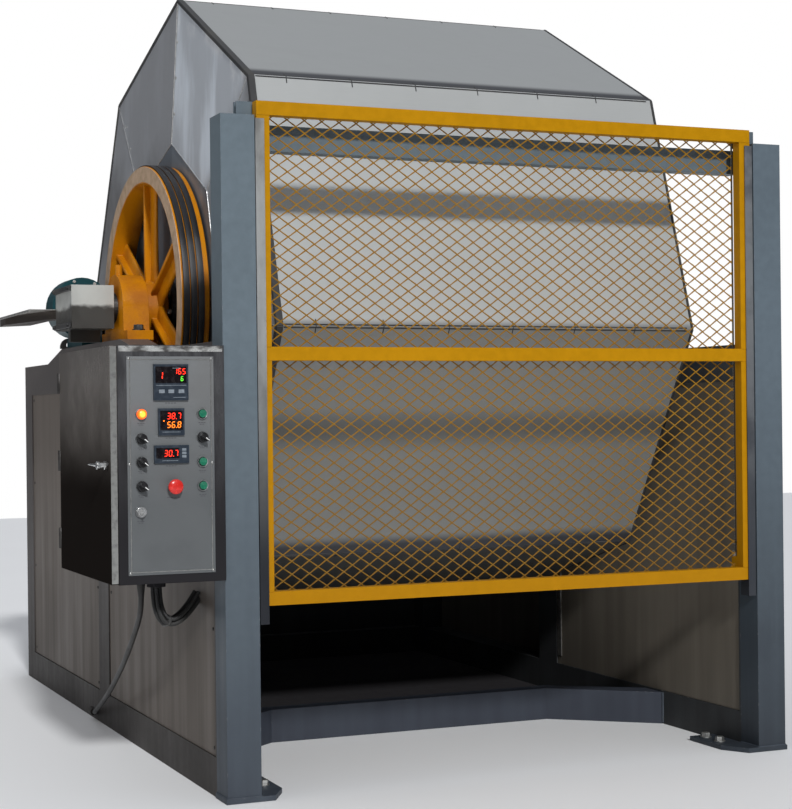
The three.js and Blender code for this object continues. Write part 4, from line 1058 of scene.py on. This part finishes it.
motor_wheel = Shape()
motor_centre = np.array([0, MOTOR_Y, MOTOR_Z])
motor_profile = [(0.0304, PULLEY_X), (MOTOR_R - 0.002, PULLEY_X), (MOTOR_R, PULLEY_X + 0.002),
                 *groove_points(MOTOR_R), (MOTOR_R, PULLEY_FAR), (0.0304, PULLEY_FAR)]
motor_wheel.turned(motor_profile, motor_centre, (1, 0, 0), 96, closed=True)
motor_wheel.object("motor_pulley_casting", drive_orange, "motor_pulley", "drive_paint", "motor_pulley",
                   smooth=40)
motor_grey = enamel("gearmotor_enamel", (0.05, 0.075, 0.095), (0.03, 0.028, 0.026), gloss=0.45)
coat("gearmotor", motor_grey)
fins = Shape()
for angle in np.arange(0, 2 * np.pi, np.pi / 14):
    spoke = turn_about_x(angle)
    fins.block((from_corner((455, 0, 0))[0], MOTOR_Y - 0.0016, MOTOR_Z + 0.1),
               (from_corner((720, 0, 0))[0], MOTOR_Y + 0.0016, MOTOR_Z + 0.118), 0.0006, spoke,
               (0, MOTOR_Y, MOTOR_Z))
fins.object("motor_fins", motor_grey, "root", "dark_steel")

# ------------------------------
# Control cabinet. A folded box of polished stainless sheet with a door on its left side, held by
# three hinges and a quarter-turn lever, and glands for the leads in its floor.
CABINET = (-317, -10, 607)
CABINET_D = 574
CABINET_H = 633


def in_cabinet(points):
    """Millimetres from the cabinet's lower left front corner, as metres in the model."""
    return from_corner(np.asarray(points, float) + CABINET)


def cabinet_block(shape, low, high, chamfer=0.0):
    """A block between two corners given like the points of in_cabinet."""
    shape.block(in_cabinet(low), in_cabinet(high), chamfer)


# The door's warm tone, its blurred patches and its darkening downwards are a painted reflection of the
# surroundings.
door_reflected_polish = stainless("cabinet_door_reflected_polish", (0.34, 0.31, 0.285), rough=0.2, brush=(60, 60, 1), grain=8.0,
                     smudge_and_sheen=0.6, wave=0.5, radius=0.004, low_tone=(0.10, 0.09, 0.082), metal=0.8,
                     cloud_scale=5,
                     shade=painted_shade_low((0.012, 0.010, 0.009), 0.84, 1.29), dull_low=(0.90, 1.29))
# The front of the body is a much darker copy of the same stainless, darkening downwards: a painted reflection
# of the dark surroundings.
front_reflected_polish = stainless("cabinet_front_reflected_polish", (0.13, 0.13, 0.135), rough=0.2, brush=(6, 6, 1), grain=14.0,
                         smudge_and_sheen=0.7, wave=0.5, radius=0.004, low_tone=(0.035, 0.034, 0.036), metal=0.5,
                         cloud_scale=16,
                         cloud_stretch=(2.2, 1, 0.5), shade=painted_shade_low((0.024, 0.023, 0.025), 0.72, 1.27),
                         dull_low=(0.62, 1.24))
coat("cabinet_body", front_reflected_polish)
coat("cabinet_door", door_reflected_polish)
coat("control_backplate", zinc)

edge_bright = plated("cabinet_edge", (0.42, 0.42, 0.40), rough=0.24)
seam = Shape()
cabinet_block(seam, (0.8, 0.9, 4), (18.5, 1.9, CABINET_H - 4), 0.0003)
seam.object("cabinet_door_lip", edge_bright, "cabinet_door", "stainless")
folds = Shape()
cabinet_block(folds, (24, -0.8, CABINET_H - 17), (CABINET_D - 262, -0.1, CABINET_H - 2), 0.0003)
# The strip on the top fold is a far brighter copy of the stainless, with strong light and dark patches: a
# painted highlight along the fold.
fold_highlight = stainless("fold_highlight_stainless", (0.80, 0.80, 0.77), rough=0.2, brush=(1, 1, 1), grain=40.0,
                     smudge_and_sheen=1.0, wave=0.4, low_tone=(0.10, 0.095, 0.09), metal=0.6, cloud_scale=24,
                     cloud_stretch=(1, 1, 2))
folds.object("cabinet_top_fold", fold_highlight, "root", "stainless")

hinge = Shape()
for z in (90, CABINET_H / 2, CABINET_H - 90):
    hinge.turned([(0, -0.030), (0.0058, -0.030), (0.0065, -0.029), (0.0065, 0.029), (0.0058, 0.030),
                  (0, 0.030)], in_cabinet((0, CABINET_D, z)), (0, 0, 1), 20)
hinge.object("cabinet_hinges", dark_oiled, "root", "stainless")

lever = Shape()
lock = in_cabinet((0, 34, CABINET_H / 2))
lever.turned([(0, -0.013), (0.0105, -0.013), (0.0118, -0.011), (0.0118, 0.0085), (0.0095, 0.0095),
              (0.0095, 0.020), (0.0112, 0.022), (0.0112, 0.0288), (0.0100, 0.030), (0, 0.030)],
             lock, (-1, 0, 0), 40)
reach = np.linspace(-0.012, 0.117, 30)
share = (reach + 0.012) / 0.129
half_high = 0.0060 - 0.0038 * share
half_deep = 0.0046 - 0.0018 * share
around = np.arange(16) * 2 * np.pi / 16
lever.grid(np.stack([
    lock[0] - 0.0245 + 0.004 * share[:, None] ** 2 + half_deep[:, None] * np.sin(around)[None],
    lock[1] + reach[:, None] + 0 * around[None],
    lock[2] + half_high[:, None] * np.cos(around)[None],
], axis=-1))
lever.block(lock + [0.008, -0.009, -0.030], lock + [0.014, 0.009, 0.009], 0.001)
chrome = plated("bright_chrome", (0.72, 0.72, 0.71), rough=0.12)
lever.object("latch_lever", chrome, "latch", "dark_steel", "door_latch")

black_moulding = sheath("gland_nylon", 0.02)
glands = Shape()
for x, y, radius in ((167, 160, 0.0262), (152, 260, 0.0152)):
    for z0, z1, grow, sides in ((-24.2, -14, 1.0, 6), (-13, -1.0, 1.12, 6)):
        glands.turned([(0.5 * radius, z0 / 1000), (radius * grow, z0 / 1000), (radius * grow, z1 / 1000),
                       (0.5 * radius, z1 / 1000)], in_cabinet((x, y, 0)), (0, 0, 1), sides, closed=True)
glands.object("gland_nuts", black_moulding, "root", "black_plastic", smooth=25)

# ------------------------------
# Instrument plate. Satin sheet screwed to the cabinet's front, with a pressed border, engraved
# marks without words, and chromed collars round the controls.
# The plate darkens downwards: painted shade.
plate_satin = stainless("plate_satin", (0.235, 0.245, 0.25), rough=0.36, brush=(1.5, 60, 60), grain=14.0,
                        smudge_and_sheen=0.5, radius=0.0006, metal=0.6, cloud_scale=7, low_tone=(0.15, 0.148, 0.145),
                        shade=painted_shade_low((0.13, 0.138, 0.142), 0.75, 1.2))
coat("instrument_plate", plate_satin)
PLATE_Y = -2.3
PLATE = (45, 286, 24, 603)
border = Shape()
x0, x1, z0, z1 = PLATE[0] + 7, PLATE[1] - 7, PLATE[2] + 7, PLATE[3] - 7
BORDER = 2.4
for low, high in (((x0, z0), (x1, z0 + BORDER)), ((x0, z1 - BORDER), (x1, z1)),
                  ((x0, z0), (x0 + BORDER, z1)), ((x1 - BORDER, z0), (x1, z1))):
    cabinet_block(border, (low[0], PLATE_Y - 0.9, low[1]), (high[0], PLATE_Y - 0.05, high[1]), 0.0004)
border.object("plate_border", edge_bright, "root", "stainless")
plate_screws = [(x, PLATE_Y - 0.1, z) for x in (PLATE[0] + 6, PLATE[1] - 6)
                for z in (PLATE[2] + 6, 318, PLATE[3] - 6)]
plate_screw = plated("plate_screw", (0.36, 0.36, 0.35), rough=0.3)
screws("plate_screws", in_cabinet(plate_screws), (0, -1, 0), 0.0042, plate_screw, "root")

LAMP = (83, 450)
KNOBS = [(83, 385), (83, 323), (83, 259), (252, 387)]
BUTTONS = [(252, 450), (252, 322), (252, 258)]
STOP = (171, 257)
KEY = (80, 191)
METERS = [(165, 534, 96, 96), (165, 429, 72, 72), (165, 343, 96, 48)]

collar_chrome = plated("collar_chrome", (0.40, 0.40, 0.40), rough=0.25)
for name, places, material in (("control_collars", (LAMP, *BUTTONS, STOP, KEY), collar_chrome),
                               ("knob_collars", KNOBS, sheath("collar_black", 0.012))):
    collars = Shape()
    for x, z in places:
        collars.turned([(0.0120, 0), (0.0155, 0), (0.0155, 0.0030), (0.0145, 0.0056), (0.0132, 0.0056),
                        (0.0120, 0.0050)], in_cabinet((x, PLATE_Y - 0.1, z)), (0, -1, 0), 36, closed=True)
    collars.object(name, material, "root", "stainless")

engraving = Paint("engraved_black", Metallic=0.0)
engraved = engraving.done(engraving.mix(engraving.noise(300, 2), (0.03, 0.03, 0.035), (0.07, 0.07, 0.08)),
                          0.5 + 0.2 * engraving.noise(200, 2))
marks = Shape()


def mark(x, z, wide, high=1.6):
    """An engraved dash with its middle at x and z, like the places of the controls."""
    cabinet_block(marks, (x - wide / 2, PLATE_Y - 0.35, z - high / 2),
                  (x + wide / 2, PLATE_Y - 0.02, z + high / 2))


for x, z in (LAMP, *KNOBS, *BUTTONS, KEY):
    for row, wide in enumerate((21, 14)):
        for bit in range(3):
            mark(x - wide / 2 + wide * (bit + 0.5) / 3, z - 24 - 4.5 * row, wide / 3 - 1.6)
for x, z, wide, high in METERS:
    for bit in range(4):
        mark(x - 12 + 8 * bit, z - high / 2 - 7, 5.4)
for bit in range(4):
    mark(STOP[0] - 15 + 10 * bit, STOP[1] - 29, 7.5)
marks.object("engraved_marks", engraved, "root", "black_plastic")

# ------------------------------
# Panel meters. Moulded bezels, each with a dark window, lit seven-bar digits and small keys.
def moulded(name, tone, gloss=0.35, grain=800):
    """Moulded plastic with a fine spark-eroded skin and finger-worn patches."""
    paint = Paint(name, Metallic=0.0, Specular_IOR_Level=0.5)
    skin = paint.noise(grain, 2)
    wear = paint.step(paint.noise(90, 4), 0.45, 0.7)
    colour = paint.mix(wear * 0.4, tone, tuple(min(1, 1.7 * c + 0.01) for c in tone))
    return paint.done(colour, gloss + 0.15 * wear, skin, depth=0.0001, strength=0.4, radius=0.0008)


bezel_navy = moulded("meter_bezel", (0.012, 0.021, 0.034))
for node in ("meter_top", "meter_middle", "meter_bottom"):
    coat(node, bezel_navy)


def lit(name, tone, power):
    """A lit part: its colour glows, a little uneven."""
    paint = Paint(name, Metallic=0.0, Roughness=0.3, Emission_Strength=power)
    flicker = paint.noise(120, 2)
    glow = paint.mix(flicker, tone, tuple(0.75 * c for c in tone))
    paint.link("Emission Color", glow)
    return paint.done(paint.mix(flicker, tuple(0.5 * c for c in tone), tuple(0.4 * c for c in tone)))


led_red = lit("led_red", (1.0, 0.028, 0.010), 2.2)
led_orange = lit("led_orange", (1.0, 0.20, 0.012), 2.2)
led_green = lit("led_green", (0.15, 0.9, 0.05), 1.5)
BARS = {"0": "abcdef", "1": "bc", "2": "abged", "3": "abgcd", "4": "fgbc", "5": "afgcd", "6": "afgcde",
        "7": "abc", "8": "abcdefg", "9": "abcdfg"}
BAR_ENDS = {"a": (0, 2, 1, 2), "b": (1, 1, 1, 2), "c": (1, 0, 1, 1), "d": (0, 0, 1, 0),
            "e": (0, 0, 0, 1), "f": (0, 1, 0, 2), "g": (0, 1, 1, 1)}
FACE_Y = -9.6


def bar_between(shape, xs, zs):
    """A lit bar just proud of the meters' faces, from the first x and z to the second."""
    cabinet_block(shape, (xs[0], FACE_Y - 0.9, zs[0]), (xs[1], FACE_Y - 0.35, zs[1]))


def digits(shape, text, x, z, high):
    """Seven-bar digits from the left end x up from the foot z, leaning a little to the right."""
    wide = high * 0.5
    thick = high * 0.15
    for letter in text:
        if letter == ".":
            bar_between(shape, (x - thick * 0.5, x + thick * 0.5), (z - thick / 2, z + thick / 2))
            x += thick * 1.6
            continue
        for bar in BARS[letter]:
            xa, za, xb, zb = BAR_ENDS[bar]
            lean = 0.12 * high * (za + zb) / 4
            px = sorted((x + wide * xa, x + wide * xb))
            pz = sorted((z + high * za / 2, z + high * zb / 2))
            grow_x = thick / 2 if xa == xb else -thick * 0.3
            grow_z = -thick * 0.3 if xa == xb else thick / 2
            bar_between(shape, (px[0] - grow_x + lean, px[1] + grow_x + lean),
                        (pz[0] - grow_z, pz[1] + grow_z))
        x += wide + high * 0.34


window_glass = moulded("meter_window", (0.006, 0.004, 0.005), gloss=0.12, grain=200)
windows = Shape()
cabinet_block(windows, (122, FACE_Y - 0.4, 532), (208, FACE_Y - 0.05, 576), 0.0002)
cabinet_block(windows, (134, FACE_Y - 0.4, 407), (196, FACE_Y - 0.05, 459), 0.0002)
cabinet_block(windows, (122, FACE_Y - 0.4, 332), (186, FACE_Y - 0.05, 360), 0.0002)
windows.object("meter_windows", window_glass, "root", "black_plastic")
red = Shape()
digits(red, "165", 173, 556, 14)
digits(red, "1", 131, 543, 18)
digits(red, "38.7", 153, 437, 15)
digits(red, "30.7", 144, 338, 15)
red.object("digits_red", led_red, "root", "lamp_lens")
orange = Shape()
digits(orange, "56.8", 153, 414, 15)
cabinet_block(orange, (142, FACE_Y - 0.9, 430), (145.4, FACE_Y - 0.35, 433.4))
orange.object("digits_orange", led_orange, "root", "lamp_lens")
green = Shape()
digits(green, "6", 192, 538, 11)
green.object("digits_green", led_green, "root", "lamp_lens")
key_grey = moulded("meter_keys", (0.20, 0.23, 0.26))
keys = Shape()
for x in (139, 165, 193):
    cabinet_block(keys, (x - 8, FACE_Y - 1.6, 505), (x + 8, FACE_Y - 0.05, 515), 0.0006)
for z in (337, 346, 355):
    cabinet_block(keys, (193, FACE_Y - 1.6, z - 3.4), (205, FACE_Y - 0.05, z + 3.4), 0.0006)
for x, z, wide in ((165, 526, 84), (188, 494, 34), (180, 571.5, 22), (165, 402, 50), (160, 326, 44)):
    cabinet_block(keys, (x - wide / 2, FACE_Y - 0.5, z - 0.7), (x + wide / 2, FACE_Y - 0.05, z + 0.7))
keys.object("meter_keypads", key_grey, "root", "black_plastic")

# ------------------------------
# Controls: a lit lamp lens, four selector knobs with white pointers, three green buttons, the red
# mushroom stop and the key switch. The knobs, the buttons and the stop each ride on their own body.
HEAD = -8.3
lamp_paint = Paint("lamp_glow", Metallic=0.0, Roughness=0.3, Emission_Strength=1.5)
lamp_middle = in_cabinet((LAMP[0], 0, LAMP[1]))
across_lamp = lamp_paint.axis("X") - lamp_middle[0]
up_lamp = lamp_paint.axis("Z") - lamp_middle[2]
out_from_middle = lamp_paint.math("SQRT", across_lamp * across_lamp + up_lamp * up_lamp)
towards_rim = lamp_paint.step(out_from_middle, 0.001, 0.012)
glowing = lamp_paint.mix(towards_rim, (1.0, 0.62, 0.05), (1.0, 0.10, 0.006))
lamp_paint.link("Emission Color", glowing)
lamp_glow = lamp_paint.done(glowing)
lens_shape = Shape()
arc = np.linspace(0, np.pi / 2, 9)
dome = [(0.0126 * math.cos(a), 0.007 + 0.0055 * math.sin(a)) for a in arc]
lens_shape.turned([(0, 0), (0.013, 0), (0.013, 0.006), *dome[:-1], (0, 0.0125)],
                  in_cabinet((LAMP[0], HEAD, LAMP[1])), (0, -1, 0), 48)
lens_shape.object("lamp_lens_dome", lamp_glow, "root", "lamp_lens", "pilot_lamp")

knob_black = moulded("knob_black", (0.006, 0.006, 0.007), gloss=0.3)
pointer_white = moulded("pointer_white", (0.72, 0.72, 0.70))
POINTS_TO = math.radians(128)  # the pointers' resting turn, clockwise from straight up
c, s = math.cos(POINTS_TO), math.sin(POINTS_TO)
knob_turn = np.array([[c, 0, s], [0, 1, 0], [-s, 0, c]])
for number, (x, z) in enumerate(KNOBS, 1):
    middle = in_cabinet((x, HEAD, z))
    pointer = Shape()
    for low, high in (((-0.0013, -0.0264, 0.001), (0.0013, -0.0258, 0.0125)),
                      ((-0.0013, -0.0264, 0.0122), (0.0013, -0.0095, 0.0130))):
        pointer.block(middle + low, middle + high, 0.0002, knob_turn, middle)
    pointer.object(f"knob_{number}_pointer", pointer_white, f"knob_{number}", "black_plastic")
    skirt = Shape()
    skirt.block(middle + [-0.0042, -0.0260, -0.0125], middle + [0.0042, -0.0090, 0.0125], 0.0014,
                knob_turn, middle)
    ribs = np.arange(48) * 2 * np.pi / 48
    ring = 0.01335 + 0.0004 * np.cos(24 * ribs)
    heights = np.array([0.0002, 0.0004, 0.0088, 0.0094])
    inset = np.array([0.0006, 0.0, 0.0, 0.0008])
    skirt.grid(np.stack([
        middle[0] + (ring[None] - inset[:, None]) * np.cos(ribs)[None],
        np.broadcast_to(middle[1] - heights[:, None], (4, 48)),
        middle[2] + (ring[None] - inset[:, None]) * np.sin(ribs)[None],
    ], axis=-1))
    skirt.object(f"knob_{number}_moulding", knob_black, f"knob_{number}", "black_plastic", f"knob_{number}")

button_green = moulded("button_green", (0.010, 0.150, 0.082), gloss=0.25)
for number, (x, z) in enumerate(BUTTONS, 1):
    coat(f"push_button_{number}", button_green)
    cap = Shape()
    cap.turned([(0, 0.0002), (0.0106, 0.0002), (0.0106, 0.0046), (0.0098, 0.0057), (0.0086, 0.0058),
                (0.006, 0.0052), (0, 0.0050)], in_cabinet((x, HEAD, z)), (0, -1, 0), 40)
    cap.object(f"push_button_{number}_cap", button_green, f"push_button_{number}", "button_green")

stop_red = moulded("stop_red", (0.60, 0.022, 0.016), gloss=0.22)
stop_shape = Shape()
arc = np.linspace(0.1, np.pi / 2, 10)
crown = [(0.0200 * math.cos(a), 0.0175 + 0.0065 * math.sin(a)) for a in arc]
stop_shape.turned([(0, -0.018), (0.0102, -0.018), (0.0102, 0.0082), (0.0180, 0.0088), (0.0198, 0.0100),
                   (0.0200, 0.0120), *crown[:-1], (0, 0.024)],
                  in_cabinet((STOP[0], HEAD, STOP[1])), (0, -1, 0), 56)
stop_shape.object("stop_mushroom", stop_red, "emergency_stop", "stop_red", "emergency_stop")
coat("key_switch", chrome)

# ------------------------------
# Inside the cabinet: an inverter with its keypad, a row of contactors, terminals and wiring duct.
relay_grey = moulded("contactor_grey", (0.28, 0.29, 0.29))
inside = Shape()
BACKPLATE_T = 3
FIT = 0.3  # between the backplate and what is in front of it and behind it
back = -CABINET[0] - FIT - BACKPLATE_T - FIT  # the plane that the fittings inside stand on
for y in range(118, 330, 44):
    cabinet_block(inside, (back - 98, y, 404), (back - 90.3, y + 36, 476), 0.0015)
for y in range(116, 490, 16):
    cabinet_block(inside, (back - 66, y, 94), (back - 60.3, y + 12, 136), 0.001)
cabinet_block(inside, (back - 164, 380, 345), (back - 160.3, 500, 545), 0.002)
inside.object("cabinet_relays", relay_grey, "root", "black_plastic")
screen = Shape()
cabinet_block(screen, (back - 165.4, 405, 480), (back - 164.2, 475, 520), 0.0004)
for y in (410, 430, 450):
    cabinet_block(screen, (back - 166.5, y, 440), (back - 164.2, y + 14, 452), 0.001)
screen.object("inverter_keypad", knob_black, "root", "black_plastic")

# ------------------------------
# Air path. A square stainless box seals on the hollow axle, a flat duct leads back from it, and a
# small teal fan with its motor stands on the pedestal.
def dull_belly(paint, colour):
    """Painted reflection: a dark blurred patch low on the box, where the dim reflection of the floor begins.
    """
    cloudy = paint.noise(16, 4, stretch=(1, 1, 1.6)) * 0.05 - paint.axis("Z")
    spread = paint.step(cloudy, -1.406, -1.385)
    return paint.mix(spread * 0.93, colour, (0.035, 0.031, 0.027))


box_satin = stainless("air_box_satin", (0.72, 0.73, 0.69), rough=0.25, brush=(60, 2, 60), grain=10.0,
                      smudge_and_sheen=0.4, wave=0.7, metal=0.55, cloud_scale=9, shade=dull_belly)
# The duct's dark brown tone is painted shade.
duct_satin = stainless("duct_satin", (0.105, 0.085, 0.072), rough=0.35, brush=(60, 2, 60), grain=10.0,
                       smudge_and_sheen=0.5)
coat("air_box", box_satin)
coat("long_duct", duct_satin)
fan_teal = enamel("fan_enamel", (0.006, 0.048, 0.058), (0.012, 0.018, 0.018), gloss=0.3, chips=0.3,
                  shine=0.25)
coat("fan_housing", fan_teal)
coat("fan_rotor", box_satin)
clamps = Shape()
for z in (1358, 1481):
    clamps.block(from_corner((-134, 1198, z - 9)), from_corner((-125.3, 1422, z + 9)), 0.002)
    for y in (1212, 1408):
        clamps.turned([(0, 0), (0.0075, 0), (0.0075, 0.006), (0, 0.006)], from_corner((-134, y, z)),
                      (-1, 0, 0), 6)
clamps.object("air_box_clamps", black_moulding, "root", "black_plastic")
duct_low, duct_high = corners_of("long_duct")
# The pale lip along the duct's top is a painted highlight.
duct_lip = Shape()
duct_lip.block((duct_low[0] + 0.001, duct_low[1] + 0.002, duct_high[2] + 0.0002),
               (duct_high[0] - 0.001, duct_high[1] - 0.002, duct_high[2] + 0.0022), 0.0006)
duct_lip.block((duct_low[0] - 0.0016, duct_low[1] + 0.002, duct_high[2] - 0.007),
               (duct_low[0] - 0.0002, duct_high[1] - 0.002, duct_high[2] + 0.0018), 0.0004)
duct_lip.object("duct_top_lip", pale_lip_paint, "root", "stainless")
fan_cover = Shape()
FAN = from_corner((10, 1590, 1441))
for radius in (0.020, 0.036, 0.052):
    near, far = radius - 0.0012, radius + 0.0012
    fan_cover.turned([(near, 0.001), (far, 0.001), (far, 0.0034), (near, 0.0034)], FAN, (0, -1, 0), 48,
                     closed=True)
for angle in (0, 1, 2):
    c, s = math.cos(angle * np.pi / 3), math.sin(angle * np.pi / 3)
    spin = np.array([[c, 0, s], [0, 1, 0], [-s, 0, c]])
    fan_cover.block(FAN + [-0.062, -0.0036, -0.0014], FAN + [0.062, -0.0008, 0.0014], 0.0004, spin, FAN)
fan_cover.object("fan_inlet_grille", zinc, "root", "fan_paint")
FAN_BOLT_R = 0.097
rim_bolts = [FAN + [FAN_BOLT_R * math.cos(a), -0.0002, FAN_BOLT_R * math.sin(a)]
             for a in np.arange(8) * np.pi / 4 + 0.3]
bolts("fan_rim_bolts", rim_bolts, (0, -1, 0), 0.008, 0.005, zinc, "root")
